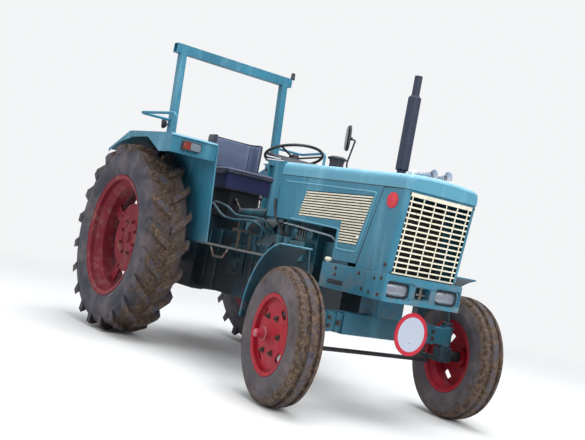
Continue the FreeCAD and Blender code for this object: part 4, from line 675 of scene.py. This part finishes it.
def build_bonnet_trim():
    seam_shade_cords, beads = [], []
    for side, sign in SIDES:
        # Painted shadow: dark cords along the bonnet seams stand in for the shade under the edge of the bonnet
        # cap.
        seam_shade_cords.append(seam_path(sign, (1313, 263.4, 1303.5), (2512, 263.4, 1266.4)))
        seam_shade_cords.append(seam_path(sign, (2346, 263.4, 1265), (2224, 263.4, 828)))
        # The pressed edge around the louvres, in the lighter bonnet paint as a painted highlight
        beads.append(seam_path(
            sign, (1376, 263.5, 1262), (2240, 263.5, 1236), (2282, 263.5, 1234),
            (2292, 263.5, 1226), (2284, 263.5, 1190), (2214, 263.5, 912), (2206, 263.5, 894),
            (2190, 263.5, 888), (2040, 263.5, 890), (2020, 263.5, 894), (2015, 263.5, 908),
            (2015, 263.5, 985), (2012, 263.5, 1002), (1995, 263.5, 1008), (1500, 263.5, 1030)))
    bars("bonnet_seam_shadows", MATT, "chassis", "black_plastic", 2.2, *seam_shade_cords)
    bars("panel_beads", HOOD_LIT, "chassis", "body_paint", 5, *beads)
    for side, sign in SIDES:
        latch = Shape()
        at = mm(2470, sign * 263.8, 852)
        latch.turned(at, (0, sign, 0), ((0, 0), (0, 11), (3, 11), (4, 9), (4, 0)), 20)
        latch.block(mm(2464, sign * 267 - 1.5, 850), mm(2476, sign * 267 + 1.5, 854), 0.5)
        latch.done("latch_" + side, NUTS, "chassis", "steel")
    disc = Shape()
    disc.turned(mm(2436, -263.8, 1198), (0, -1, 0),
                ((0, 0), (0, 44), (4, 44), (6, 42), (6.5, 34), (9, 20), (9.5, 0)), 48)
    disc.done("red_disc", SIGNAL_RED, "chassis", "rim_paint")
    screws = Shape()
    for y in (-236, 236):
        for z in (1245, 818):
            screws.turned(mm(2500 + (z - 806) * 0.104, y * 1.02, z), (1, 0, 0.1),
                          ((0, 0), (0, 5), (1.5, 4.5), (2.5, 2.5), (2.5, 0)), 14)
    screws.done("cowl_screws", NUTS, "chassis", "steel")


def superellipse(width, high, power, count=48):
    ring = []
    for i in range(count):
        turn = i * math.tau / count
        c, s = math.cos(turn), math.sin(turn)
        ring.append((width * math.copysign(abs(c) ** (2 / power), c),
                     high * math.copysign(abs(s) ** (2 / power), s)))
    return ring


def build_headlamps():
    front, low, high = 2528, 684, 770
    middle = (low + high) / 2
    for side, sign in SIDES:
        y = sign * 182
        lens = bmesh.new()
        rings = []
        for scale, bulge in ((1.0, 0), (0.97, 4), (0.86, 9), (0.62, 13), (0.32, 15)):
            rings.append([lens.verts.new(mm(front - 30 + bulge, y + u * scale, middle + v * scale))
                          for u, v in superellipse(76, 35, 4)])
        for near, far in zip(rings, rings[1:]):
            for i in range(len(near)):
                j = (i + 1) % len(near)
                lens.faces.new((near[i], near[j], far[j], far[i]))
        lens.faces.new(rings[-1])
        lens.faces.new(list(reversed(rings[0])))
        glass = Shape()
        glass.mesh.free()
        glass.mesh = lens
        glass.done("lens_" + side, LENS, "chassis", "lamp_glass")
        rim = [mm(front - 27, y + u, middle + v) for u, v in superellipse(78.5, 37.5, 4)]
        bars("lens_rim_" + side, MOULDED, "chassis", "black_plastic", 3.5, rim, closed=True)
    pin = Shape()
    pin.turned(mm(2480, 8, 669), (0, 0, 1), ((0, 0), (0, 13), (128, 13), (128, 0)), 20)
    pin.block(mm(2462, -32, 716), mm(2496, 40, 728), 2)
    pin.done("tow_pin", STEEL, "chassis", "steel")


def build_frame_fastenings():
    bolts = Shape()
    for sign in (1, -1):
        out = Vector((0, sign, 0))
        for x, z in ((2083, 781), (2085, 745), (2296, 779), (2340, 700)):
            bolts.bolt(mm(x, sign * 287.8, z), out, 7.5, 6)
        for x, z in ((2431, 771), (2488, 778), (2402, 690), (2478, 690)):
            bolts.bolt(mm(x, sign * 287.8, z), out, 7, 5)
        for x, z in ((-15, 1440), (-15, 1300), (-15, 1150), (-15, 900)):
            bolts.bolt(mm(x, sign * 423.8, z), -out, 9, 7)
        for x in (-68, 38):
            for y in (458, 508):
                bolts.bolt(mm(x, sign * y, 1490), (0, 0, 1), 7, 7)
        bolts.bolt(mm(2255, sign * 333, 492), (1, 0, 0), 11, 9)
        for z in (470, 514):
            bolts.bolt(mm(2248, sign * 393, z), (1, 0, 0), 9, 9)
            bolts.bolt(mm(2152, sign * 333, z), (-1, 0, 0), 9, 9)
    bolts.done("frame_bolts", NUTS, "chassis", "steel")
    # Painted shade: dark blocks on the frame sides stand in for the shade inside its slots.
    slots = Shape()
    for sign in (1, -1):
        y = sorted((sign * 286, sign * 290.5))
        slots.block(mm(2024, y[0], 690), mm(2168, y[1], 716), 1.5)
    slots.done("frame_slot_shades", MATT, "chassis", "black_paint")
    knob = Shape()
    knob.turned(mm(1982, -276, 806.2), (0, 0, 1),
                ((0, 0), (0, 9), (6, 10), (8, 19), (18, 22), (27, 17), (30, 8), (30, 0)), 20)
    knob.done("filler_cap", CREAM_PAINT, "chassis", "cream_paint")


# Engine side


def build_engine_details():
    lines = []
    side = -165
    for i in range(4):
        x = 1525 + 28 * i
        lines.append([mm(x, -210, 893), mm(x, -212, 930), mm(x - 5, -205, 1010),
                      mm(1440 + 70 * i, -170, 1060), mm(1440 + 70 * i, -132, 1070)])
    bars("fuel_lines", STEEL, "chassis", "steel", 3, *lines)
    bars("side_pipe", PALE_PIPE, "chassis", "steel", 6,
         [mm(1330, -163, 985), mm(1345, -225, 998), mm(1500, -236, 992), mm(1700, -236, 974),
          mm(1880, -236, 962), mm(1925, -225, 956), mm(1940, -190, 900), mm(1948, -100, 850)])
    bars("control_rods", ENGINE, "chassis", "engine_paint", 10,
         [mm(180, -185, 965), mm(300, -215, 1070), mm(440, -246, 1066), mm(540, -250, 1010), mm(640, -250, 972),
          mm(790, -250, 965), mm(985, -250, 978), mm(1090, -230, 970), mm(1130, -140, 890)],
         [mm(195, -150, 965), mm(330, -195, 1085), mm(500, -226, 1072), mm(640, -228, 1050), mm(740, -228, 1000),
          mm(900, -226, 998), mm(1090, -224, 1004), mm(1150, -190, 975), mm(1165, -110, 890)])
    bars("gear_lever_tube", ENGINE, "chassis", "engine_paint", 30,
         [mm(700, -150, 1030), mm(860, -165, 1036), mm(1090, -175, 1044)])
    bars("reservoir_ends", STEEL, "chassis", "steel", 19,
         [mm(1076, -175, 1044), mm(1112, -176, 1045)])
    stays = Shape()
    for x, y in ((745, -153), (1060, -174)):
        stays.block(mm(x - 12, y - 8, 880), mm(x + 12, y + 8, 1022), 3)
    stays.done("tube_stays", ENGINE, "chassis", "engine_paint")
    bars("pedal_strap", MATT, "chassis", "black_paint", 9,
         [mm(1296, -272, 1140), mm(1306, -272, 1080), mm(1340, -262, 1000), mm(1400, -158, 860)])
    bars("hoses", MATT, "chassis", "black_plastic", 11,
         [mm(1290, -120, 1094), mm(1280, -150, 1130), mm(1330, -190, 1100), mm(1350, -205, 1000),
          mm(1345, -203, 910)],
         [mm(1700, -60, 1075), mm(1800, -90, 1090), mm(1980, -120, 1060), mm(2200, -130, 1050),
          mm(2306, -120, 1060)],
         [mm(1690, 60, 700), mm(1850, 100, 720), mm(2100, 120, 860), mm(2306, 120, 900)])
    covers = Shape()
    out = Vector((0, -1, 0))
    covers.turned(mm(1655, -199, 947), out, ((0, 18), (0, 30), (5, 30), (6, 28), (6, 20), (0, 18)), 28)
    covers.turned(mm(1515, -209, 955), out, ((0, 0), (0, 22), (10, 20), (14, 12), (14, 0)), 24)
    covers.turned(mm(1625, -191, 620), out, ((0, 0), (0, 46), (4, 44), (4, 20), (12, 18), (12, 0)), 28)
    for i in range(6):
        way = math.radians(60 * i)
        covers.bolt(mm(1625 + 38 * math.cos(way), -194.5, 620 + 38 * math.sin(way)), out, 5, 5)
    for x in range(1260, 1690, 70):
        for z in (525, 1068):
            edge = side if z < 600 else -135
            covers.bolt(mm(x, edge, z), out, 7, 6)
            covers.bolt(mm(x, -edge, z), -out, 7, 6)
    for x, z in ((1090, 905), (1200, 880), (1090, 520), (1200, 520), (1090, 700), (1200, 700)):
        covers.bolt(mm(x, -205 if z < 860 else -204, min(z, 820)), out, 9, 8)
        covers.bolt(mm(x, 205 if z < 860 else 204, min(z, 820)), -out, 9, 8)
    for sign in (1, -1):
        out = Vector((0, sign, 0))
        side_y = sign * 149
        covers.block(*ordered(mm(642, side_y, 590), mm(860, side_y + sign * 12, 800)), 8)
        for x, z in ((660, 608), (842, 608), (660, 782), (842, 782), (751, 608), (751, 782)):
            covers.bolt(mm(x, side_y + sign * 12, z), out, 7, 7)
        covers.turned(mm(751, side_y + sign * 11, 695), out,
                      ((0, 0), (0, 52), (9, 50), (14, 30), (30, 28), (33, 0)), 28)
        for x in (320, 480, 960):
            covers.block(*ordered(mm(x - 8, side_y - sign * 4, 452), mm(x + 8, side_y + sign * 14,
                                                                      880)), 5)
        side_y = sign * 204
        for x in (1060, 1216):
            covers.block(*ordered(mm(x - 9, side_y - sign * 4, 470), mm(x + 9, side_y + sign * 12,
                                                                      812)), 4)
            for z in (500, 590, 680, 770):
                covers.bolt(mm(x, side_y + sign * 12, z), out, 7, 6)
    covers.done("engine_covers", ENGINE, "chassis", "engine_paint")
    rocker = Shape()
    rocker.block(mm(1270, -95, 1094), mm(1655, 95, 1148), 14)
    for x in (1330, 1590):
        rocker.turned(mm(x, 0, 1147), (0, 0, 1), ((0, 0), (0, 12), (5, 12), (6, 7), (14, 7), (14, 0)), 16)
    rocker.turned(mm(1460, 0, 1146), (0, 0, 1), ((0, 0), (0, 30), (16, 30), (20, 24), (20, 0)), 24)
    rocker.done("rocker_cover", CASTING, "chassis", "engine_paint")
    fan = Shape()
    hub = mm(2010, 0, 880)
    fan.turned(hub, (1, 0, 0), ((-62, 0), (-62, 24), (0, 24), (2, 60), (30, 60), (32, 20), (44, 20),
                                (44, 0)), 28)
    for i in range(6):
        way = math.radians(60 * i)
        blade = [Vector((x, r * math.cos(way) - w * math.sin(way),
                         r * math.sin(way) + w * math.cos(way))) for x, r, w in (
            (0.034, 0.05, -0.02), (0.04, 0.05, 0.02), (0.062, 0.19, 0.045), (0.022, 0.2, -0.04))]
        ring = [fan.mesh.verts.new(hub + v) for v in blade]
        back = [fan.mesh.verts.new(hub + v + Vector((0.0025, 0, 0))) for v in blade]
        fan.mesh.faces.new(ring)
        fan.mesh.faces.new(list(reversed(back)))
        for j in range(4):
            k = (j + 1) % 4
            fan.mesh.faces.new((ring[k], ring[j], back[j], back[k]))
    fan.done("cooling_fan", MATT, "chassis", "black_paint")
    step = kinked(mm(880, -446, 764), mm(940, -446, 700), mm(1060, -446, 700), mm(1120, -446, 764))
    left_step = [Vector((p.x, -p.y, p.z)) for p in step]
    bars("step_irons", STEEL, "chassis", "steel", 8, step, left_step)


# Driver's place


def build_dash_trim():
    strips = []
    for sign in (1, -1):
        strips.append(seam_path(sign, (1292, 258.6, 1392), (1085, 258.6, 1403)))
        strips.append(seam_path(sign, (1250, 258.6, 1404), (1072, 258.6, 1424)))
    bars("dash_strips", WHITE_METAL, "chassis", "chrome", 4, *strips)
    slope = math.atan2(1452 - 1392, 1309 - 1070)
    normal = Vector((math.sin(slope), 0, math.cos(slope)))
    dials = Shape()
    # The instruments look up at the driver from the panel's rear face.
    face = Vector((-math.cos(math.radians(10)), 0, math.sin(math.radians(10))))
    for y, radius in ((-150, 24), (-95, 24), (95, 24), (150, 24), (200, 16), (-200, 16)):
        dials.turned(mm(1065.5, y, 1424), face, ((-4, 0), (-4, radius), (3, radius), (4, radius - 3),
                                               (2, radius - 4), (2, 0)), 28)
    dials.done("instruments", CHROME, "chassis", "chrome")
    hub = Shape()
    tilt = math.radians(18)
    up = Vector((-math.sin(tilt), 0, math.cos(tilt)))
    centre = mm(1000, 0, 1480)
    hub.turned(centre - up * 0.009, up, ((0, 0), (0, 34), (5, 33), (9, 26), (11, 12), (11, 0)), 32)
    hub.done("wheel_cap", MOULDED, "steering_wheel", "black_plastic")
    grips = Shape()
    for x, y, z in ((570, 60.5, 1160), (467.5, -69.5, 1110)):
        pass
    grips.turned(mm(567.1, 60.6, 1160), (-0.59, 0.29, 0.76),
                 ((-12, 0), (-12, 14), (4, 19), (20, 17), (27, 9), (27, 0)), 20)
    grips.turned(mm(457, -71.6, 1110), (-0.48, -0.37, 0.8),
                 ((-12, 0), (-12, 13), (4, 17), (16, 15), (22, 8), (22, 0)), 20)
    grips.done("lever_knobs", MOULDED, "chassis", "black_plastic")
    pads = Shape()
    for y in (300, -260, -350):
        for i in range(4):
            x = 1013 + 11 * i
            pads.block(mm(x, y - 26, 903.5), mm(x + 6, y + 38, 908), 1)
    pads.done("pedal_rubbers", MOULDED, "chassis", "black_plastic")
    ribs = Shape()
    for sign in (1, -1):
        for i in range(7):
            x = 300 + 100 * i
            y = sorted((sign * 180, sign * 440))
            ribs.block(mm(x, y[0], 771.5), mm(x + 14, y[1], 775), 1)
    ribs.done("deck_treads", DECK_BODY, "chassis", "body_paint")


def snapped(item, points, lift=0.0):
    """The points moved onto a piece's surface, and outwards by lift."""
    moved = []
    for point in points:
        found, place, normal, _ = item.closest_point_on_mesh(point)
        moved.append(place + normal * lift if found else point)
    return moved


def padded_piece(name, outline, low, high, crown, cap, finish):
    """A stuffed piece from its outline in millimetres, between two heights."""
    mesh = bmesh.new()
    levels = []
    centre = Vector((sum(x for x, y in outline) / len(outline),
                     sum(y for x, y in outline) / len(outline)))
    for share, pull in ((0, 14), (0.06, 3), (0.5, -crown), (0.94, 3), (1, 14)):
        z = low + (high - low) * share
        ring = []
        for i, (x, y) in enumerate(outline):
            before = Vector(outline[i - 1])
            after = Vector(outline[(i + 1) % len(outline)])
            edge = (after - before).normalized()
            inward = Vector((-edge.y, edge.x))
            at = Vector((x, y)) + inward * pull
            ring.append(mesh.verts.new(mm(at.x, at.y, z)))
        levels.append(ring)
    for near, far in zip(levels, levels[1:]):
        for i in range(len(near)):
            j = (i + 1) % len(near)
            mesh.faces.new((near[i], near[j], far[j], far[i]))
    mesh.faces.new(levels[-1])
    mesh.faces.new(list(reversed(levels[0])))
    bmesh.ops.triangulate(mesh, faces=mesh.faces)
    bmesh.ops.recalc_face_normals(mesh, faces=mesh.faces)
    data = bpy.data.meshes.new(name)
    mesh.to_mesh(data)
    mesh.free()
    item = bpy.data.objects.new(name, data)
    bpy.context.collection.objects.link(item)
    bpy.context.view_layer.objects.active = item
    item.select_set(True)
    remesh = item.modifiers.new("remesh", "REMESH")
    remesh.mode = "VOXEL"
    remesh.voxel_size = 0.006
    bpy.ops.object.modifier_apply(modifier="remesh")
    start = [v.co.copy() for v in item.data.vertices]
    cloth = item.modifiers.new("cloth", "CLOTH")
    cloth.settings.use_pressure = True
    cloth.settings.uniform_pressure_force = 4
    cloth.settings.effector_weights.gravity = 0
    cloth.point_cache.frame_start, cloth.point_cache.frame_end = 1, 14
    scene = bpy.context.scene
    for step in range(1, 15):
        scene.frame_set(step)
    bpy.ops.object.modifier_apply(modifier="cloth")
    scene.frame_set(1)
    for vertex, before in zip(item.data.vertices, start):
        move = vertex.co - before
        if move.length > cap / 1000:
            vertex.co = before + move.normalized() * cap / 1000
    smooth = item.modifiers.new("smooth", "SMOOTH")
    smooth.factor, smooth.iterations = 0.5, 4
    bpy.ops.object.modifier_apply(modifier="smooth")
    item.select_set(False)
    for face in item.data.polygons:
        face.use_smooth = True
    return put(item, finish, "chassis")


def rounded(corners, radius, steps=4):
    """A closed outline whose corners are rounded, counter-clockwise."""
    ring = []
    count = len(corners)
    for i, here in enumerate(corners):
        here = Vector(here)
        back = Vector(corners[i - 1]) - here
        on = Vector(corners[(i + 1) % count]) - here
        reach = min(radius, back.length * 0.45, on.length * 0.45)
        first, last = here + back.normalized() * reach, here + on.normalized() * reach
        for k in range(steps + 1):
            t = k / steps
            ring.append(tuple(first * (1 - t) ** 2 + here * 2 * t * (1 - t) + last * t ** 2))
    return ring


def build_seat():
    flat = rounded([(86, -219), (494, -219), (494, 219), (86, 219)], 45)
    cushion = padded_piece("cushion", flat, 1302, 1340, 2, 7, CUSHION)
    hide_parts("seat_cushion")
    shape = rounded([(66, -190), (95, -219), (224, -219), (224, -186), (142, -176),
                     (116, -140), (116, 140), (142, 176), (224, 186), (224, 219), (95, 219),
                     (66, 190)], 22, 3)
    back = padded_piece("backrest", shape, 1349, 1594, 1, 6, BACKREST)
    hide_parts("seat_back")
    bpy.context.view_layer.update()
    piping = []
    for z in (1310, 1334):
        ring = [mm(x, y, z) for x, y in rounded([(82, -223), (498, -223), (498, 223),
                                                 (82, 223)], 45)]
        piping.append(snapped(cushion, ring, 0.001))
    bars("cushion_piping", PIPING, "chassis", "seat_vinyl", 4, *piping, closed=True)
    edges = []
    ring = [mm(x, y, 1592) for x, y in shape]
    edges.append(snapped(back, ring, 0.001))
    bars("back_piping", PIPING, "chassis", "seat_vinyl", 4, *edges, closed=True)
    seams = []
    for y in (-150, 150):
        seams.append(snapped(back, [mm(135, y, z) for z in range(1352, 1592, 20)], -0.0005))
    for y in (-203, 203):
        seams.append(snapped(back, [mm(232, y, z) for z in range(1352, 1592, 20)], 0.0005))
    bars("back_seams", PIPING, "chassis", "seat_vinyl", 3, *seams)


def build_mirror_and_lamps():
    turn = math.radians(-118)
    across = Vector((-math.sin(turn), math.cos(turn), 0))
    out = Vector((math.cos(turn), math.sin(turn), 0))
    lean = (Vector((0, 0, 1)) - across * 0.16).normalized()
    centre = mm(1308, 205, 1650)
    for name, finish, slot, shift, depth, scale in (
            ("mirror", MATT, "black_plastic", -0.004, 0.016, 1),
            ("mirror_glass", DARK_GLASS, "chrome", 0.0125, 0.001, 0.9)):
        plate = bmesh.new()
        rings = []
        for along, size in ((-depth / 2, 0.78), (-depth * 0.3, 0.97), (depth / 2, 1)):
            rings.append([plate.verts.new(centre + across * (0.058 * scale * size * u)
                                          + lean * (0.092 * scale * size * v)
                                          + out * (along + shift))
                          for u, v in superellipse(1, 1, 3.2)])
        for near, far in zip(rings, rings[1:]):
            for i in range(len(near)):
                j = (i + 1) % len(near)
                plate.faces.new((near[i], near[j], far[j], far[i]))
        plate.faces.new(rings[-1])
        plate.faces.new(list(reversed(rings[0])))
        head = Shape()
        head.mesh.free()
        head.mesh = plate
        item = head.done(name, finish, "chassis", slot)
        if name == "mirror":
            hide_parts("mirror")
    bars("mirror_arm", MATT, "chassis", "black_paint", 6,
         kinked(mm(1330, 235, 1388), mm(1318, 225, 1480), mm(1392, 205, 1632),
                centre - out * 0.01))
    clamp = Shape()
    clamp.turned(centre - out * 0.03, out, ((0, 0), (0, 10), (18, 16), (22, 16), (22, 0)), 20)
    clamp.turned(mm(1330, 235, 1390.6), (0, 0, 1), ((0, 0), (0, 16), (6, 16), (8, 10), (20, 9),
                                                (20, 0)), 20)
    clamp.done("mirror_clamp", MATT, "chassis", "black_paint")
    beacon = Shape()
    beacon.block(mm(-106, 538, 2212), mm(-78, 568, 2216), 1)
    beacon.turned(mm(-92, 558, 2216), (0, 0, 1), ((0, 0), (0, 7), (22, 7), (22, 0)), 14)
    beacon.done("beacon_bracket", CHROME, "chassis", "chrome")
    head = Shape()
    head.turned(mm(-92, 558, 2236), (0, 0, 1),
                ((0, 0), (0, 16), (14, 20), (20, 17), (50, 17), (58, 10), (60, 0)), 20)
    head.done("beacon", MATT, "chassis", "black_paint")
    work = Shape()
    work.block(mm(-62, -516, 1592), mm(-34, -490, 1604), 2)
    work.block(mm(-140, -512, 1594), mm(-58, -504, 1602), 2)
    work.turned(mm(-112, -508, 1606), (-0.5, -0.86, -0.1),
                ((-24, 0), (-24, 18), (-10, 33), (8, 37), (13, 37), (14, 33), (13, 0)), 28)
    work.done("work_lamp", MATT, "chassis", "black_paint")
    pane = Shape()
    pane.turned(mm(-112, -508, 1606), (-0.5, -0.86, -0.1), ((12, 0), (13, 33), (17, 24), (19, 0)),
                28)
    pane.done("work_lamp_glass", TAN_GLASS, "chassis", "lamp_glass")
    frames = []
    for sign in (1, -1):
        y = 658.5 * sign
        frames.append([mm(757, y + 67 * u, 1393 + 28 * v) for u, v in superellipse(1, 1, 6, 32)])
    bars("lamp_rims", MOULDED, "chassis", "black_plastic", 2.5, *frames, closed=True)


def build_guard_ribs():
    """The pressed strip and ribs on the inner walls of the rear mudguards."""
    ribs = Shape()
    for sign in (1, -1):
        y = sorted((sign * 446.5, sign * 450.5))
        for z in (900, 1020, 1140, 1260, 1380):
            ribs.block(mm(330, y[0], z), mm(700, y[1], z + 9), 1.5)
    ribs.done("guard_ribs", BODY, "chassis", "body_paint")
    edge = []
    for sign in (1, -1):
        edge.append(seam_path(sign, (724, 451, 1440), (822, 451, 776)))
        edge.append(seam_path(sign, (726, 452, 1446), (726, 802, 1446)))
    bars("guard_edges", BODY, "chassis", "body_paint", 5, *edge)


def build_front_guards():
    """The rolled edges of the front mudguards."""
    for side, sign in SIDES:
        arc = [mm(2240 + 441 * math.cos(math.radians(a)), sign * 730,
                  425 + 441 * math.sin(math.radians(a))) for a in range(101, 183, 5)]
        front = [mm(2156, sign * y, 858) for y in (532, 600, 660, 730)]
        bars("front_guard_edge_" + side, BODY, "knuckle_" + side, "body_paint", 5, arc, front,
             stand=corner(sign))


def build_stack_details():
    brim = Shape()
    brim.turned(mm(1360, 110, 1478), (0, 0, 1), ((0, 51), (2, 62), (8, 66), (14, 62), (22, 44),
                                                (24, 0)), 40)
    brim.done("cleaner_brim", MATT, "chassis", "black_plastic")
    clamp = Shape()
    x, y = 2154, 0
    clamp.turned(mm(x, y, 1842), (0, 0, 1), ((0, 22), (0, 27), (10, 27), (10, 22)), 28)
    for turn in range(4):
        way = math.radians(45 + 90 * turn)
        clamp.bolt(mm(x + 43 * math.cos(way), y + 43 * math.sin(way), 1384.5), (0, 0, 1), 5, 6)
    clamp.done("stack_fastenings", NUTS, "chassis", "steel")


build_wheel_fastenings()
build_bonnet_trim()
build_headlamps()
build_frame_fastenings()
build_engine_details()
build_dash_trim()
build_seat()
build_mirror_and_lamps()
build_guard_ribs()
build_front_guards()
build_stack_details()


# Stage, lamps and camera


def build_stage():
    size = 60
    mesh = bpy.data.meshes.new("floor")
    mesh.from_pydata([(-size, -size, 0), (size, -size, 0), (size, size, 0), (-size, size, 0)],
                     [], [(0, 1, 2, 3)])
    floor = bpy.data.objects.new("floor", mesh)
    bpy.context.collection.objects.link(floor)
    pale = bpy.data.materials.new("pale_floor")
    pale.use_nodes = True
    nodes, links = pale.node_tree.nodes, pale.node_tree.links
    shader = nodes["Principled BSDF"]
    shader.inputs["Base Color"].default_value = (0.74, 0.74, 0.73, 1)
    shader.inputs["Roughness"].default_value = 0.9
    place = nodes.new("ShaderNodeTexCoord")
    length = nodes.new("ShaderNodeVectorMath")
    length.operation = "LENGTH"
    links.new(place.outputs["Object"], length.inputs[0])
    far = nodes.new("ShaderNodeMapRange")
    far.interpolation_type = "SMOOTHSTEP"
    far.inputs["From Min"].default_value = 2.6
    far.inputs["From Max"].default_value = 9.0
    links.new(length.outputs["Value"], far.inputs["Value"])
    seen = nodes.new("ShaderNodeLightPath")
    both = nodes.new("ShaderNodeMath")
    both.operation = "MULTIPLY"
    links.new(far.outputs["Result"], both.inputs[0])
    links.new(seen.outputs["Is Camera Ray"], both.inputs[1])
    glow = nodes.new("ShaderNodeEmission")
    glow.inputs["Color"].default_value = BACKGROUND
    mix = nodes.new("ShaderNodeMixShader")
    links.new(both.outputs[0], mix.inputs[0])
    links.new(shader.outputs[0], mix.inputs[1])
    links.new(glow.outputs[0], mix.inputs[2])
    links.new(mix.outputs[0], nodes["Material Output"].inputs["Surface"])
    mesh.materials.append(pale)


def build_world():
    world = bpy.data.worlds.new("studio")
    bpy.context.scene.world = world
    world.use_nodes = True
    nodes, links = world.node_tree.nodes, world.node_tree.links
    light = nodes["Background"]
    light.inputs["Color"].default_value = (0.93, 0.96, 1.0, 1)
    # An overcast sky: bright overhead, dim towards the horizon and below
    where = nodes.new("ShaderNodeTexCoord")
    split = nodes.new("ShaderNodeSeparateXYZ")
    links.new(where.outputs["Generated"], split.inputs[0])
    rise = nodes.new("ShaderNodeMapRange")
    rise.inputs["From Min"].default_value = -0.15
    rise.inputs["From Max"].default_value = 0.9
    rise.inputs["To Min"].default_value = 0.26
    rise.inputs["To Max"].default_value = 1.15
    links.new(split.outputs["Z"], rise.inputs["Value"])
    links.new(rise.outputs["Result"], light.inputs["Strength"])
    backdrop = nodes.new("ShaderNodeBackground")
    backdrop.inputs["Color"].default_value = BACKGROUND
    seen = nodes.new("ShaderNodeLightPath")
    plain = nodes.new("ShaderNodeMath")
    plain.operation = "MAXIMUM"
    links.new(seen.outputs["Is Camera Ray"], plain.inputs[0])
    links.new(seen.outputs["Is Transmission Ray"], plain.inputs[1])
    mirrored = nodes.new("ShaderNodeMath")
    mirrored.operation = "MAXIMUM"
    links.new(plain.outputs[0], mirrored.inputs[0])
    links.new(seen.outputs["Is Glossy Ray"], mirrored.inputs[1])
    mix = nodes.new("ShaderNodeMixShader")
    links.new(mirrored.outputs[0], mix.inputs[0])
    links.new(light.outputs[0], mix.inputs[1])
    links.new(backdrop.outputs[0], mix.inputs[2])
    links.new(mix.outputs[0], nodes["World Output"].inputs["Surface"])


def area_lamp(name, place, aim, size, power, tint=(1, 1, 1)):
    data = bpy.data.lights.new(name, "AREA")
    data.shape = "DISK"
    data.size, data.energy, data.color = size, power, tint
    lamp = bpy.data.objects.new(name, data)
    bpy.context.collection.objects.link(lamp)
    lamp.location = place
    lamp.rotation_euler = (Vector(aim) - Vector(place)).to_track_quat("-Z", "Y").to_euler()


def build_camera():
    """The photograph's viewpoint: low, ahead of the right side, and rolled."""
    place = Vector((5.0316, -3.2114, 0.8457))
    towards = Vector((-0.82961, 0.55738, 0.03274)).normalized()
    roll = math.radians(10.68)
    focal, frame_width, sensor = 846.1, 585, 36
    data = bpy.data.cameras.new("camera")
    data.sensor_width = sensor
    data.lens = focal / frame_width * sensor
    camera = bpy.data.objects.new("camera", data)
    bpy.context.collection.objects.link(camera)
    upright = towards.to_track_quat("-Z", "Y").to_matrix()
    camera.matrix_world = (Matrix.Translation(place)
                           @ (upright @ Matrix.Rotation(roll, 3, "Z")).to_4x4())
    bpy.context.scene.camera = camera


BACKGROUND = (0.9, 0.91, 0.92, 1)
build_stage()
build_world()
area_lamp("sky", (0.8, 0.2, 6.0), (0, 0, 0.8), 5.0, 300, (0.95, 0.98, 1.0))
area_lamp("key", (6.5, -1.2, 3.8), (0.6, 0, 0.9), 3.0, 190)
area_lamp("fill", (-1.5, -5.5, 2.2), (-0.2, 0, 0.8), 2.5, 55)
build_camera()
bpy.context.scene.view_settings.view_transform = "Standard"
